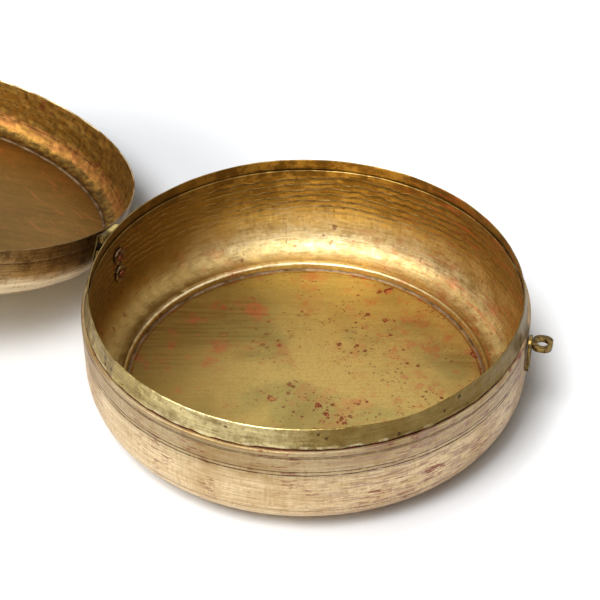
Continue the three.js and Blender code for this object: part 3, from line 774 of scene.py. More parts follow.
def grimed(place, colour, dirt):
    """Dirt round the root of the eye"""
    off = vectors("SUBTRACT", place, EYE_ROOT)
    away = length_of(off)
    uneven = sums("MULTIPLY_ADD", noise_value(place, 150.0), 0.008, away)
    return laid_over(colour, dirt, ramped(uneven, 0.019, 0.010, 0.0, 0.8))


def closed_off(shader, colour, roughness, heights):
    """Feeds the shader its colour, roughness and bumps, given as (height, strength, distance)"""
    feed(shader.inputs["Base Color"], colour)
    feed(shader.inputs["Roughness"], roughness)
    normal = None
    for height, strength, distance in heights:
        inputs = {"Height": height, "Strength": strength, "Distance": distance}
        if normal:
            inputs["Normal"] = normal
        normal = node("ShaderNodeBump", inputs).outputs["Normal"]
    feed(shader.inputs["Normal"], normal)


# Materials of this box

# Heights of the grooves outside the base and how dirty each is, and the side of the floor with the most spots
OUTSIDE_GROOVES = {0.0225: 0.45, 0.0542: 0.9, 0.0570: 0.7, 0.0682: 0.45, 0.0694: 0.5}
SPOTTED_WAY = (0.89, 0.45, 0)


def outside_brass(finishes):
    shader, place = new_metal("Outside brass")
    turning = turning_place(place)
    lines = lathe_lines(place, 900.0, 16.0, 0.1)
    base = patina(place, 16.0, finishes.outside, finishes.outside_dull, 0.58)
    woven = woven_wear(place)
    streaks = lathe_lines(place, 560.0, 75.0, 0.05)
    blotches = ramped(noise_value(place, 30.0), 0.51, 0.58)
    dashes = times(ramped(streaks["Height"], 0.55, 0.59), blotches)
    colour = laid_over(base, finishes.outside_dull, lines["Mask"], 0.45)
    colour = laid_over(colour, finishes.outside_dull, woven["Mask"], 0.6)
    upper = ramped(turning["Height"], 0.044, 0.062)
    colour = laid_over(colour, finishes.collar_dark, upper, 0.45)
    right = towards(place, -14.0, 0.55, 0.95)
    tarnish = times(ramped(streaks["Height"], 0.5, 0.55, 0.1, 1.0), right)
    colour = laid_over(colour, finishes.lilac, tarnish, 0.6)
    colour = laid_over(colour, finishes.rust_red, dashes, 0.65)
    scoured = times(
        ramped(streaks["Height"], 0.5, 0.55), ramped(blotches, 0.0, 0.3, 0.3, 1.0)
    )
    low_right = times(
        towards(place, -40.0, 0.8, 0.97), ramped(turning["Height"], 0.053, 0.046)
    )
    colour = laid_over(colour, finishes.rust_red, scoured, low_right, 0.5)
    for level, dirt in OUTSIDE_GROOVES.items():
        line = ring_line(place, turning["Height"], level, 0.0006)
        colour = laid_over(colour, finishes.groove_dark, line, dirt)
    colour = grimed(place, colour, finishes.groove_dark)
    rough = ramped(lines["Height"], 0.3, 0.7, finishes.polish, finishes.polish + 0.14)
    closed_off(
        shader,
        colour,
        rough,
        [(lines["Height"], 0.5, 0.0004), (streaks["Height"], 0.25, 0.0004), (woven["Height"], 0.3, 0.0004)],
    )


def inside_brass(finishes):
    shader, place = new_metal("Inside brass")
    turning = turning_place(place)
    level = turning["Height"]
    base = patina(place, 24.0, finishes.inside, finishes.inside_dark, 0.62)
    rows = grouped("Hammered Rows", {"Vector": place})
    facing = towards(place, 104.0, -0.2, 0.75)
    hammered = times(ramped(level, 0.028, 0.044), ramped(level, 0.0725, 0.071))
    hammered = times(hammered, sums("MULTIPLY_ADD", facing, 0.5, 0.5))
    mottled = ramped(noise_value(place, 60.0, detail=5.0, roughness=0.7), 0.36, 0.64)
    upper = ramped(level, 0.032, 0.058)
    darker = times(upper, ramped(mottled, 0.0, 1.0, 0.65, 1.0))
    colour = laid_over(base, finishes.inside_dark, darker)
    shaded = times(rows["Shade"], hammered, 0.85)
    colour = laid_over(colour, finishes.lid_dark, shaded)
    # Painted highlight: a pale glow laid into the back of the bottom curve, broken by fine grain
    band = times(ramped(level, 0.046, 0.030), ramped(level, 0.009, 0.020, 0.35, 1.0))
    glow = times(band, towards(place, 99.0, 0.3, 0.97))
    grainy = ramped(noise_value(place, 260.0, roughness=0.75), 0.36, 0.64, 0.3, 0.8)
    colour = laid_over(colour, finishes.highlight_cream, glow, grainy)
    # Painted shade: the inner wall is darkened towards the left, a little less near the bottom
    left = times(towards(place, 207.0, 0.2, 0.9), ramped(level, 0.008, 0.03, 0.6, 1.0))
    colour = laid_over(colour, finishes.inside_dark, left)
    colour = laid_over(colour, finishes.lid_dark, left, 0.25)
    # Painted shade: the inner wall is darkened towards the right
    side = towards(place, 30.0, 0.1, 0.8)
    colour = laid_over(colour, finishes.inside_dark, side, 0.4)
    neck = ramped(level, 0.0725, 0.0735)
    rim_shade = times(neck, ramped(mottled, 0.0, 1.0, 0.15, 0.65))
    colour = laid_over(colour, finishes.lid_dark, rim_shade)
    radius = turning["Radius"]
    # Painted highlight: a broken pale line along the back of the floor's lip
    lip = times(ramped(radius, 0.1302, 0.1284), ramped(level, 0.0056, 0.0066))
    wear_and_highlight = ramped(noise_value(place, 120.0, detail=3.0), 0.3, 0.5)
    shown = times(lip, towards(place, 120.0, 0.1, 0.85), wear_and_highlight)
    colour = laid_over(colour, finishes.highlight_cream, shown, 0.9)
    # Painted shade: the lip is darkened towards the right
    right_lip_shade = times(lip, towards(place, 35.0, 0.2, 0.9))
    colour = laid_over(colour, finishes.inside_dark, right_lip_shade, 0.7)
    # Painted shade: the foot of the bottom curve, just above the lip, is darkened
    fold_shade = times(ramped(radius, 0.1340, 0.1310), ramped(radius, 0.1288, 0.1300))
    colour = laid_over(colour, finishes.inside_dark, fold_shade, 0.35)
    for height in (0.0702, 0.0668, 0.0629):
        line = ring_line(place, level, height, 0.0006)
        shown = times(line, towards(place, 190.0, 0.3, 0.8))
        colour = laid_over(colour, finishes.groove_dark, shown, 0.6)
    streaks = lathe_lines(place, 340.0, 40.0, 0.08)
    right = towards(place, 35.0, 0.35, 0.9)
    red = times(ramped(streaks["Height"], 0.53, 0.62), right, 0.6)
    colour = laid_over(colour, finishes.copper, red)
    specks = ramped(noise_value(place, 420.0, roughness=0.8), 0.54, 0.62)
    speckled = times(specks, sums("MULTIPLY_ADD", right, 0.4, 0.12))
    colour = laid_over(colour, finishes.rust_red, speckled)
    spots = corrosion(place, 170.0, 0.45, 0.48, 18.0)
    colour = laid_over(colour, finishes.rust_red, spots["Mask"], 0.6)
    blush = ramped(noise_value(place, 44.0, detail=6.0, roughness=0.7), 0.55, 0.66)
    pink = times(blush, ramped(level, 0.040, 0.020), 0.35)
    colour = laid_over(colour, finishes.copper, pink)
    hammer = hammer_marks(place, 115.0)
    lines = lathe_lines(place, 700.0, 60.0, 0.2)
    colour = laid_over(colour, finishes.inside_dark, lines["Mask"], 0.25)
    scoops = times(rows["Height"], hammered)
    # Painted highlight: lighter dashes along the ridges of the hammered rows
    ridge_highlights = times(ramped(rows["Height"], 0.3, 0.05), hammered)
    ridge_highlights = times(ridge_highlights, ramped(noise_value(place, 120.0, detail=3.0), 0.45, 0.6))
    colour = laid_over(colour, finishes.inside, ridge_highlights, 0.5)
    woven = woven_wear(place, 420.0)
    colour = laid_over(colour, finishes.inside_dark, woven["Mask"], 0.35)
    rough = ramped(mottled, 0.0, 1.0, finishes.polish + 0.04, finishes.polish + 0.2)
    rough = sums("MULTIPLY_ADD", glow, 0.09, rough)
    closed_off(
        shader,
        colour,
        rough,
        [
            (scoops, 1.0, 0.0006),
            (hammer, 0.4, 0.0010),
            (lines["Height"], 0.5, 0.0004),
            (woven["Height"], 0.5, 0.0007),
        ],
    )


def floor_brass(finishes):
    shader, place = new_metal("Floor brass")
    base = patina(place, 11.0, finishes.floor, finishes.floor_dull, 0.6)
    strokes = stroke_noise(place, -0.47, (16, 420, 14), 4.0, 0.3)
    colour = laid_over(base, finishes.floor_dull, ramped(strokes, 0.42, 0.75, 0.0, 0.16))
    radius = turning_place(place)["Radius"]
    outer = ramped(radius, 0.02, 0.11)
    patches = ramped(noise_value(place, 13.0, detail=3.0), 0.46, 0.6)
    behind = times(towards(place, 112.0, 0.5, 0.95), outer)
    green = sums("MAXIMUM", times(patches, 0.5), times(behind, 0.36))
    colour = laid_over(colour, finishes.olive, green)
    across = vectors("DOT_PRODUCT", place, SPOTTED_WAY, "Value")
    spotted = ramped(across, -0.07, 0.01, 0.2, 1.0)
    stains = ramped(noise_value(place, 80.0, detail=7.0, roughness=0.75), 0.53, 0.6)
    stained = times(stains, ramped(across, -0.01, 0.06, 0.0, 0.5))
    colour = laid_over(colour, finishes.copper, stained)
    # Painted shade: the outer floor is darkened towards the left
    left = times(towards(place, 205.0, 0.1, 0.95), outer)
    colour = laid_over(colour, finishes.inside_dark, left, 0.7)
    back_left = times(towards(place, 165.0, 0.3, 0.98), outer)
    blush = ramped(noise_value(place, 34.0, detail=6.0, roughness=0.7), 0.52, 0.64)
    pink = times(blush, sums("MULTIPLY_ADD", back_left, 0.5, 0.3))
    colour = laid_over(colour, finishes.copper, pink)
    tiny = corrosion(place, 460.0, 0.55, 0.4, 21.0)
    small = corrosion(place, 250.0, 0.58, 0.45, 17.0)
    large = corrosion(place, 95.0, 0.5, 0.46, 12.0)
    colour = laid_over(colour, finishes.copper, large["Mask"], spotted, 0.65)
    colour = laid_over(colour, finishes.rust_red, large["Rim"], spotted)
    colour = laid_over(colour, finishes.rust_red, small["Mask"], spotted, 0.8)
    colour = laid_over(colour, finishes.rust_red, tiny["Mask"], spotted, 0.6)
    edge = ring_line(place, radius, 0.1222, 0.0011)
    colour = laid_over(colour, finishes.rust_red, edge, 0.6)
    rough = ramped(strokes, 0.3, 0.7, finishes.polish + 0.06, finishes.polish + 0.2)
    closed_off(shader, colour, rough, [(strokes, 0.1, 0.0003), (large["Mask"], 0.3, 0.0002)])


def collar_brass(finishes):
    shader, place = new_metal("Collar brass")
    base = patina(place, 26.0, finishes.collar, finishes.collar_dark, 0.6)
    smears = lathe_lines(place, 240.0, 14.0, 0.12)
    colour = laid_over(base, finishes.collar_dark, smears["Mask"], 0.4)
    # Painted shade: the collar is darkened towards the right and, less, towards the left
    right = towards(place, -12.0, 0.3, 0.9)
    colour = laid_over(colour, finishes.collar_dark, right, 0.85)
    left = towards(place, -160.0, 0.3, 0.85)
    colour = laid_over(colour, finishes.collar_dark, left, 0.5)
    # Painted highlight: the front of the collar is lightened
    front_highlight = towards(place, -86.0, 0.9, 1.0)
    colour = laid_over(colour, finishes.highlight_cream, front_highlight, 0.25)
    streaks = lathe_lines(place, 520.0, 40.0, 0.1)
    colour = laid_over(colour, finishes.collar_dark, streaks["Mask"], 0.35)
    patches = ramped(noise_value(place, 75.0, detail=6.0, roughness=0.7), 0.48, 0.6)
    colour = laid_over(colour, finishes.collar_dark, patches, 0.5)
    woven = woven_wear(place, 380.0)
    colour = laid_over(colour, finishes.collar_dark, woven["Mask"], 0.42)
    level = turning_place(place)["Height"]
    # Painted highlight: a broken pale line along the collar's lower edge at the front
    foot = ring_line(place, level, 0.0752, 0.0013)
    foot = times(foot, ramped(noise_value(place, 130.0), 0.46, 0.62))
    front = towards(place, -88.0, 0.3, 0.9)
    colour = laid_over(colour, finishes.highlight_cream, foot, front, 0.5)
    pits = corrosion(place, 260.0, 0.5, 0.46, 26.0)["Mask"]
    colour = laid_over(colour, finishes.groove_dark, pits, 0.8)
    hammer = hammer_marks(place, 140.0)
    scratches = grouped("Scratches", {"Vector": place, "Scale": 70.0, "Amount": 1.0})["Mask"]
    colour = laid_over(colour, finishes.groove_dark, scratches, 0.35)
    colour = grimed(place, colour, finishes.groove_dark)
    closed_off(
        shader,
        colour,
        finishes.polish + 0.04,
        [
            (hammer, 0.6, 0.0012),
            (smears["Height"], 0.5, 0.0008),
            (noise_value(place, 130.0), 0.5, 0.0012),
            (woven["Height"], 0.5, 0.0006),
            (sums("SUBTRACT", 1.0, pits), 0.6, 0.0004),
        ],
    )


def lid_inside_brass(finishes):
    shader, place = new_metal("Lid inside brass", closed_lid=True)
    turning = turning_place(place)
    level = turning["Height"]
    base = patina(place, 46.0, finishes.lid_brass, finishes.inside_dark, 0.5)
    streaks = lathe_lines(place, 330.0, 60.0, 0.1)
    cloud = sums("SUBTRACT", noise_value(place, 110.0, detail=5.0, roughness=0.7), 0.5)
    ragged = sums("MULTIPLY_ADD", cloud, 0.009, level)
    band = times(ramped(ragged, 0.0975, 0.1005), ramped(ragged, 0.1100, 0.1075))
    streaked = times(band, ramped(streaks["Height"], 0.38, 0.6, 0.25, 1.0))
    specks = ramped(noise_value(place, 240.0, roughness=0.75), 0.5, 0.62)
    base = laid_over(base, finishes.lid_dark, specks, 0.55)
    colour = laid_over(base, finishes.orange, streaked, 0.65)
    colour = laid_over(colour, finishes.lid_dark, streaks["Mask"], 0.35)
    dark = ramped(ragged, 0.1080, 0.1100)
    pattern = ramped(noise_value(place, 170.0), 0.38, 0.62, 0.15, 0.8)
    colour = laid_over(colour, finishes.lid_dark, dark, pattern)
    line = ring_line(place, level, 0.1012, 0.0006)
    dashed = times(line, ramped(noise_value(place, 240.0, detail=2.0), 0.42, 0.55))
    colour = laid_over(colour, finishes.groove_dark, dashed, 0.75)
    spots = corrosion(place, 130.0, 0.5, 0.46, 20.0)
    colour = laid_over(colour, finishes.rust_red, spots["Mask"], 0.5)
    # Painted highlight: a broken pale line round the lid's rim
    wear_and_highlight = times(
        ramped(level, 0.0746, 0.0740), ramped(noise_value(place, 35.0), 0.4, 0.55)
    )
    colour = laid_over(colour, finishes.highlight_cream, wear_and_highlight, 0.85)
    hammer = hammer_marks(place, 150.0)
    woven = woven_wear(place, 380.0)
    colour = laid_over(colour, finishes.lid_dark, woven["Mask"], 0.4)
    closed_off(
        shader,
        colour,
        finishes.polish + 0.2,
        [(hammer, 0.7, 0.0012), (streaks["Height"], 0.4, 0.0004), (woven["Height"], 0.4, 0.0006)],
    )


def lid_outside_brass(finishes):
    shader, place = new_metal("Lid outside brass", closed_lid=True)
    turning = turning_place(place)
    lines = lathe_lines(place, 900.0, 20.0, 0.12)
    base = patina(place, 70.0, finishes.outside_dull, finishes.lid_dark, 0.56)
    # Painted shade: the upright outer wall is darkened
    upright = ramped(turning["Height"], 0.094, 0.088)
    colour = laid_over(base, finishes.lid_dark, upright, 0.35)
    cloud = sums("SUBTRACT", noise_value(place, 60.0, detail=5.0, roughness=0.7), 0.5)
    pale = ramped(sums("MULTIPLY_ADD", cloud, 0.014, turning["Height"]), 0.093, 0.101)
    colour = laid_over(colour, finishes.outside, pale, 0.9)
    woven = woven_wear(place)
    colour = laid_over(colour, finishes.outside_dull, woven["Mask"], 0.6)
    colour = laid_over(colour, finishes.lid_dark, lines["Mask"], 0.3)
    for level in (0.0842, 0.0905):
        line = ring_line(place, turning["Height"], level, 0.0005)
        colour = laid_over(colour, finishes.groove_dark, line, 0.45)
    rough = ramped(lines["Height"], 0.3, 0.7, finishes.polish, finishes.polish + 0.12)
    closed_off(shader, colour, rough, [(lines["Height"], 0.4, 0.0003), (woven["Height"], 0.3, 0.0004)])


def lid_floor_brass(finishes):
    shader, place = new_metal("Lid floor brass", closed_lid=True)
    base = patina(place, 14.0, finishes.lid_brass, finishes.inside_dark, 0.5)
    blush = ramped(
        noise_value(place, 40.0, detail=6.0, roughness=0.75, distortion=0.5), 0.55, 0.66
    )
    colour = laid_over(base, finishes.orange, blush, 0.25)
    strokes = stroke_noise(place, 0.6, (24, 260, 24), 4.0, 0.3)
    colour = laid_over(colour, finishes.lid_dark, ramped(strokes, 0.35, 0.7, 0.22, 0.4))
    flames = stroke_noise(place, -0.35, (42, 120, 42), 8.0, 1.6)
    colour = laid_over(colour, finishes.orange, ramped(flames, 0.54, 0.7, 0.0, 0.5))
    scratches = grouped("Scratches", {"Vector": place, "Scale": 30.0, "Amount": 1.0})["Mask"]
    colour = laid_over(colour, finishes.orange, scratches, 0.8)
    closed_off(shader, colour, finishes.polish + 0.1, [(blush, 0.1, 0.0002), (strokes, 0.06, 0.0003)])


def fitting_metal(finishes, name, bright, dull, roughness, scale, balance=0.5):
    shader, place = new_metal(name)
    colour = patina(place, scale, getattr(finishes, bright), getattr(finishes, dull), balance)
    hammer = noise_value(place, scale * 3, detail=3.0)
    closed_off(shader, colour, roughness, [(hammer, 0.4, 0.0006)])


def hinge_brass(finishes):
    """Hinge metal: bright where the knuckles are polished by wear on one side, darkened on the straps as
    painted shade
    """
    shader, place = new_metal("Hinge brass")
    colour = patina(place, 160.0, finishes.knuckle, finishes.fitting, 0.58)
    off = vectors("MULTIPLY", vectors("SUBTRACT", place, PIN_PLACE), (1, 0, 1))
    away = length_of(off)
    along = node("ShaderNodeSeparateXYZ", {0: place}).outputs[1]
    # Painted shade: the straps, away from the knuckles, are darkened
    dull = sums("MAXIMUM", ramped(away, 0.0040, 0.0065), ramped(along, 0.002, -0.003))
    colour = laid_over(colour, finishes.lid_dark, dull, 0.85)
    dirt = noise_value(place, 480.0, detail=3.0)
    closed_off(shader, colour, finishes.polish + 0.04, [(dirt, 0.4, 0.0006)])


FITTING_METALS = (
    ("Eye brass", "fitting", "groove_dark", 0.3, 300.0),
    ("Peened copper", "rivet", "groove_dark", 0.42, 300.0),
    ("Peened brass", "fitting", "lid_dark", 0.4, 260.0),
    ("Washer metal", "washer", "lid_dark", 0.45, 240.0),
    ("Seam solder", "rust_red", "groove_dark", 0.55, 200.0),
    ("Grey solder", "solder", "lid_dark", 0.55, 90.0, 0.52),
)


def built_materials(finishes):
    build_groups()
    for build in (
        outside_brass,
        inside_brass,
        floor_brass,
        collar_brass,
        lid_inside_brass,
        lid_outside_brass,
        lid_floor_brass,
        hinge_brass,
    ):
        build(finishes)
    for metal in FITTING_METALS:
        fitting_metal(finishes, *metal)


# Parts of a face's normal that count as looking up or down, and as looking inwards
FACING = 0.5
TURNED_AWAY = -0.02


def painted_inside(piece, centre_height):
    """Gives the second material to the faces that look towards the axis or lie inside the foot"""
    for face in piece.data.polygons:
        out = Vector((face.center.x, face.center.y, 0)).normalized()
        lies_low = face.normal.z > FACING and face.center.z < centre_height
        face.material_index = int(face.normal.dot(out) < TURNED_AWAY or lies_low)


def painted_facing(piece, way):
    """Gives the second material to the faces that look one way, up or down"""
    for face in piece.data.polygons:
        face.material_index = int(face.normal.z * way > FACING)


# Pieces


class BRASSBOX_OT_finishes(bpy.types.Operator):
    """Make the shared node groups and the metals"""

    bl_idname = "brassbox.finishes"
    bl_label = "Finishes"

    def execute(self, context):
        built_materials(context.scene.brass_box_finishes)
        return {"FINISHED"}


class BRASSBOX_OT_base_shell(bpy.types.Operator):
    """Turn the base's wall, with foot, bottom curve, grooves, ledge and neck, and hammer it out of true"""

    bl_idname = "brassbox.base_shell"
    bl_label = "Base shell"

    def execute(self, context):
        sizes = context.scene.brass_box_sizes
        sheet, ledge, fillet = sizes.sheet, sizes.ledge, sizes.foot_fillet
        curve_top = sizes.foot_step + sizes.curve_rise
        outer = curve_points(
            (sizes.foot, sizes.foot_step), (sizes.body, curve_top), CURVE_STEPS, sizes.fullness
        )
        wall = outer + [(sizes.body, height) for height in even_steps(curve_top, ledge - 0.0012, 0.0022)[1:]]
        wall = grooved(wall, [(level, 0.0003, 0.0012) for level in OUTSIDE_GROOVES])
        shoulder = [(sizes.body - 0.0004, ledge - 0.0004), (sizes.body - 0.0012, ledge)]
        slope = (sizes.collar_foot - sizes.rim) / (sizes.height - ledge)
        neck_top = sizes.rim + slope * (sizes.height - sizes.neck) - sizes.collar_sheet - 0.0001
        neck_low = neck_top + slope * (sizes.neck - ledge)
        neck = [(neck_low, ledge), (neck_top, sizes.neck - 0.0003), (neck_top - 0.0003, sizes.neck)]
        inside_top = [
            (neck_top - sheet + 0.0005, sizes.neck + 0.0001),
            (neck_top - sheet + 0.0001, sizes.neck - 0.0003),
            (neck_top - sheet, sizes.neck - 0.0009),
            (neck_low - sheet, ledge + 0.0002),
            (neck_low - sheet + 0.0006, ledge - 0.0008),
            (sizes.body - sheet - 0.0010, ledge - 0.0014),
            (sizes.body - sheet - 0.0002, ledge - 0.0024),
        ]
        rows = [
            (sizes.body - sheet, height) for height in even_steps(curve_top, ledge - 0.0034, 0.0016)[::-1]
        ]
        inner_foot = sizes.foot - sheet
        inner_low = sizes.foot_step + sheet
        lip = inner_foot + fillet
        inner = curve_points(
            (lip + 0.0022, inner_low), (sizes.body - sheet, curve_top), 28, sizes.fullness
        )[::-1][1:]
        lip_top = inner_low + 0.0006
        inner += [(lip + 0.0014, inner_low + 0.0001), (lip + 0.0008, lip_top - 0.0001), (lip, lip_top)]
        fillet_points = []
        for step in range(1, 7):
            angle = step / 6 * TURN / 4
            across = inner_foot + fillet * (1 - math.sin(angle))
            fillet_points.append((across, lip_top - fillet * (1 - math.cos(angle))))
        outline = (
            [(sizes.foot, 0), (sizes.foot, sizes.foot_step - 0.0006)]
            + wall
            + shoulder
            + neck
            + inside_top
            + rows
            + inner
            + fillet_points
            + [(inner_foot, 0), (sizes.foot, 0)]
        )
        piece = spun("base_shell", outline)
        dent = sizes.dent

        def blow(place, radius, inside):
            out = dent * waves(place, 0.055, 3) * min(1, place.z / 0.01)
            up = 0
            if place.z > 0.012:
                out += dent * (0.5 if inside else 0.15) * waves(place, 0.014, 9)
            elif inside and place.z > 0.004:
                up = dent * 0.5 * waves(place, 0.012, 10)
            return out, up

        worked(piece, blow)
        smoothed(piece)
        painted_inside(piece, 0.04)
        finished(piece, "base", "outside", ("Outside brass", "Inside brass"), "base_wall")
        return {"FINISHED"}


class BRASSBOX_OT_collar(bpy.types.Operator):
    """Turn the collar band with its hammered lower edge, and run the solder seam under it"""

    bl_idname = "brassbox.collar"
    bl_label = "Collar band and seam"

    def execute(self, context):
        sizes = context.scene.brass_box_sizes
        low, high = sizes.ledge + 0.0004, sizes.height
        sheet = sizes.collar_sheet

        def outer(height):
            return sizes.rim + (sizes.collar_foot - sizes.rim) * (high - height) / (high - low)

        levels = even_steps(low + 0.0004, high - 0.0003, 0.0011)
        outline = [(outer(level), level) for level in levels]
        outline += [(outer(high) - 0.0003, high), (outer(high) - sheet + 0.0003, high)]
        outline += [(outer(level) - sheet, level) for level in levels[::-1]]
        outline += [(outer(low) - sheet + 0.0002, low), (outer(low) - 0.0003, low)]
        outline.append(outline[0])
        piece = spun("collar_hammered", outline)
        depth = sizes.dent

        def blow(place, radius, inside):
            share = (place.z - low) / (high - low)
            angle = math.degrees(math.atan2(place.y, place.x))
            out = depth * (0.8 * waves(place, 0.03, 21) + 0.5 * waves(place, 0.011, 22))
            edge = max(0, 1 - share / 0.35)
            up = edge * (0.0008 + 0.0011 * waves(place, 0.013, 23) + 0.0006 * waves(place, 0.005, 24))
            out += edge * (0.0004 + 0.0006 * waves(place, 0.008, 25))
            wear_and_highlight = math.exp(-(((angle - WORN_AZIMUTH) / WORN_SPREAD) ** 2))
            up -= share * (0.0016 * wear_and_highlight + 0.0003 + 0.0003 * waves(place, 0.04, 26))
            return out, up

        worked(piece, blow)
        smoothed(piece)
        painted_inside(piece, 0)
        finished(piece, "base", "collar", ("Collar brass", "Inside brass"), "collar_band")

        seam_radius, bead = sizes.collar_foot - 0.0003, 0.0004
        circle = [
            (seam_radius + bead * math.cos(TURN * step / 8), sizes.ledge + bead * math.sin(TURN * step / 8))
            for step in range(8)
        ]
        solder_bead("collar_solder", circle, (0.0003, 0.006), (0.0002, 0.01), 31, "base", "Seam solder")
        return {"FINISHED"}


class BRASSBOX_OT_floor(bpy.types.Operator):
    """Turn the floor disc of the base and the solder line round it"""

    bl_idname = "brassbox.floor"
    bl_label = "Base floor"

    def execute(self, context):
        sizes = context.scene.brass_box_sizes
        edge = sizes.foot - sizes.sheet - 0.0003
        piece = flat_disc("base_floor_disc", edge, 0, sizes.sheet, 0.0002, 0.05, 41)
        painted_facing(piece, -1)
        finished(piece, "base", "floor", ("Floor brass", "Outside brass"), "base_floor")

        bead = [
            (edge - 0.0012, sizes.sheet + 0.0001),
            (edge - 0.0006, sizes.sheet + 0.0007),
            (edge + 0.0001, sizes.sheet + 0.0012),
            (edge + 0.0001, sizes.sheet - 0.0004),
            (edge - 0.0010, sizes.sheet - 0.0004),
        ]
        solder_bead("floor_solder", bead, (0.0002, 0.008), (0.0001, 0.005), 42, "base", "Grey solder")
        return {"FINISHED"}


class BRASSBOX_OT_base_hinge(bpy.types.Operator):
    """Dress the base's hinge strap, the pin, the rivets and their washers"""

    bl_idname = "brassbox.base_hinge"
    bl_label = "Base hinge"

    def execute(self, context):
        edge = context.scene.brass_box_sizes.edge
        dressed("base_hinge_strap", "base", "knuckle", "Hinge brass", edge)
        dressed("hinge_pin", "base", "copper", "Peened brass", edge)
        for seed, level in enumerate(("upper", "lower")):
            rivet_wear, washer_wear = (0.0003, 0.003, seed), (0.0009, 0.004, 60 + seed)
            dressed(f"base_hinge_rivet_{level}", "base", "copper", "Peened copper", edge, 2, rivet_wear)
            dressed(f"base_hinge_rove_{level}", "base", "knuckle", "Washer metal", edge, 2, washer_wear)
        return {"FINISHED"}


class BRASSBOX_OT_eye_and_link(bpy.types.Operator):
    """Dress the eye, the washer behind it and the loose link"""

    bl_idname = "brassbox.eye_and_link"
    bl_label = "Eye and link"

    def execute(self, context):
        dressed("staple_eye", "base", "fitting", "Eye brass", EYE_EDGE, 3)
        dressed("staple_rove", "base", "fitting", "Washer metal", context.scene.brass_box_sizes.edge)
        dressed("staple_link", "link", "fitting", "Eye brass", LINK_EDGE, 3)
        return {"FINISHED"}


class BRASSBOX_OT_lid_shell(bpy.types.Operator):
    """Turn the lid's wall and its top disc, closed, hammer them and turn them open"""

    bl_idname = "brassbox.lid_shell"
    bl_label = "Lid shell and top"

    def execute(self, context):
        sizes = context.scene.brass_box_sizes
        sheet, rim, top = sizes.lid_sheet, sizes.ledge + 0.0003, sizes.lid_top
        rise = top - 0.0026 - sizes.lid_upright
        outer = quarter_curve(sizes.lid_step, sizes.lid_upright, sizes.lid - sizes.lid_step, rise)[::-1]
        wall = [(sizes.lid, level) for level in even_steps(rim + 0.0003, sizes.lid_upright, 0.0022)[:-1]]
        wall = grooved(wall, [(0.0842, 0.0002, 0.001)])
        step_inner = sizes.lid_step - sheet
        inner = quarter_curve(step_inner, sizes.lid_upright, sizes.lid - sheet - step_inner, rise - sheet, 24)
        inside_wall = [
            (sizes.lid - sheet, level) for level in even_steps(rim + 0.0003, sizes.lid_upright, 0.0014)[:-1]
        ]
        outline = (
            [(sizes.lid - 0.0003, rim)]
            + wall
            + outer
            + [(sizes.lid_step, top - 0.0002), (sizes.lid_step - 0.0002, top), (step_inner + 0.0002, top)]
            + [(step_inner, top - 0.0004)]
            + inner
            + inside_wall[::-1]
            + [(sizes.lid - sheet + 0.0002, rim), (sizes.lid - 0.0003, rim)]
        )
        piece = spun("lid_shell", outline)
        dent = sizes.dent

        def blow(place, radius, inside):
            flare = (sizes.lid_upright - place.z) / (sizes.lid_upright - rim)
            clear = 1 - math.exp(-(((place.x / radius + 1) / 0.12) ** 2))
            out = 0.6 * dent * waves(place, 0.06, 51) + 0.0013 * max(0, flare) * clear
            if inside or place.z > sizes.lid_upright:
                out += 0.5 * dent * waves(place, 0.013, 52)
            return out, 0.3 * dent * waves(place, 0.02, 53)

        worked(piece, blow)
        smoothed(piece)
        painted_inside(piece, 0)
        turned_open(piece)
        finished(piece, "lid", "lid", ("Lid outside brass", "Lid inside brass"), "lid_wall")

        edge = step_inner - 0.0003
        cover = flat_disc("lid_disc", edge, top - sheet, top, -0.0002, 0.06, 54)
        painted_facing(cover, 1)
        turned_open(cover)
        finished(cover, "lid", "lid", ("Lid floor brass", "Lid outside brass"), "lid_top")

        low = top - sheet
        bead = [
            (edge - 0.0014, low - 0.0001),
            (edge - 0.0007, low - 0.0008),
            (edge + 0.0001, low - 0.0013),
            (edge + 0.0001, low + 0.0003),
            (edge - 0.0012, low + 0.0003),
        ]
        solder_bead("lid_solder", bead, (0.0002, 0.008), (0.0001, 0.005), 55, "lid", "Grey solder")
        return {"FINISHED"}


class BRASSBOX_OT_lid_hinge(bpy.types.Operator):
    """Dress the lid's hinge strap, its rivets and their washers"""

    bl_idname = "brassbox.lid_hinge"
    bl_label = "Lid hinge"

    def execute(self, context):
        edge = context.scene.brass_box_sizes.edge
        dressed("lid_hinge_strap", "lid", "knuckle", "Hinge brass", edge)
        for side in ("left", "right"):
            dressed(f"lid_hinge_rivet_{side}", "lid", "copper", "Peened brass", edge)
            dressed(f"lid_hinge_rove_{side}", "lid", "knuckle", "Washer metal", edge)
        return {"FINISHED"}


class BRASSBOX_OT_hasp(bpy.types.Operator):
    """Dress the hasp, its bracket, pin and rivets"""

    bl_idname = "brassbox.hasp"
    bl_label = "Hasp"

    def execute(self, context):
        edge = context.scene.brass_box_sizes.edge
        dressed("hasp_bracket", "lid", "fitting", "Eye brass", edge)
        dressed("hasp_pin", "lid", "fitting", "Eye brass", edge)
        for side in ("left", "right"):
            dressed(f"hasp_rivet_{side}", "lid", "copper", "Peened copper", SMALL_RIVET_EDGE)
        dressed("hasp_strap", "hasp", "fitting", "Eye brass", edge)
        return {"FINISHED"}


# Stage

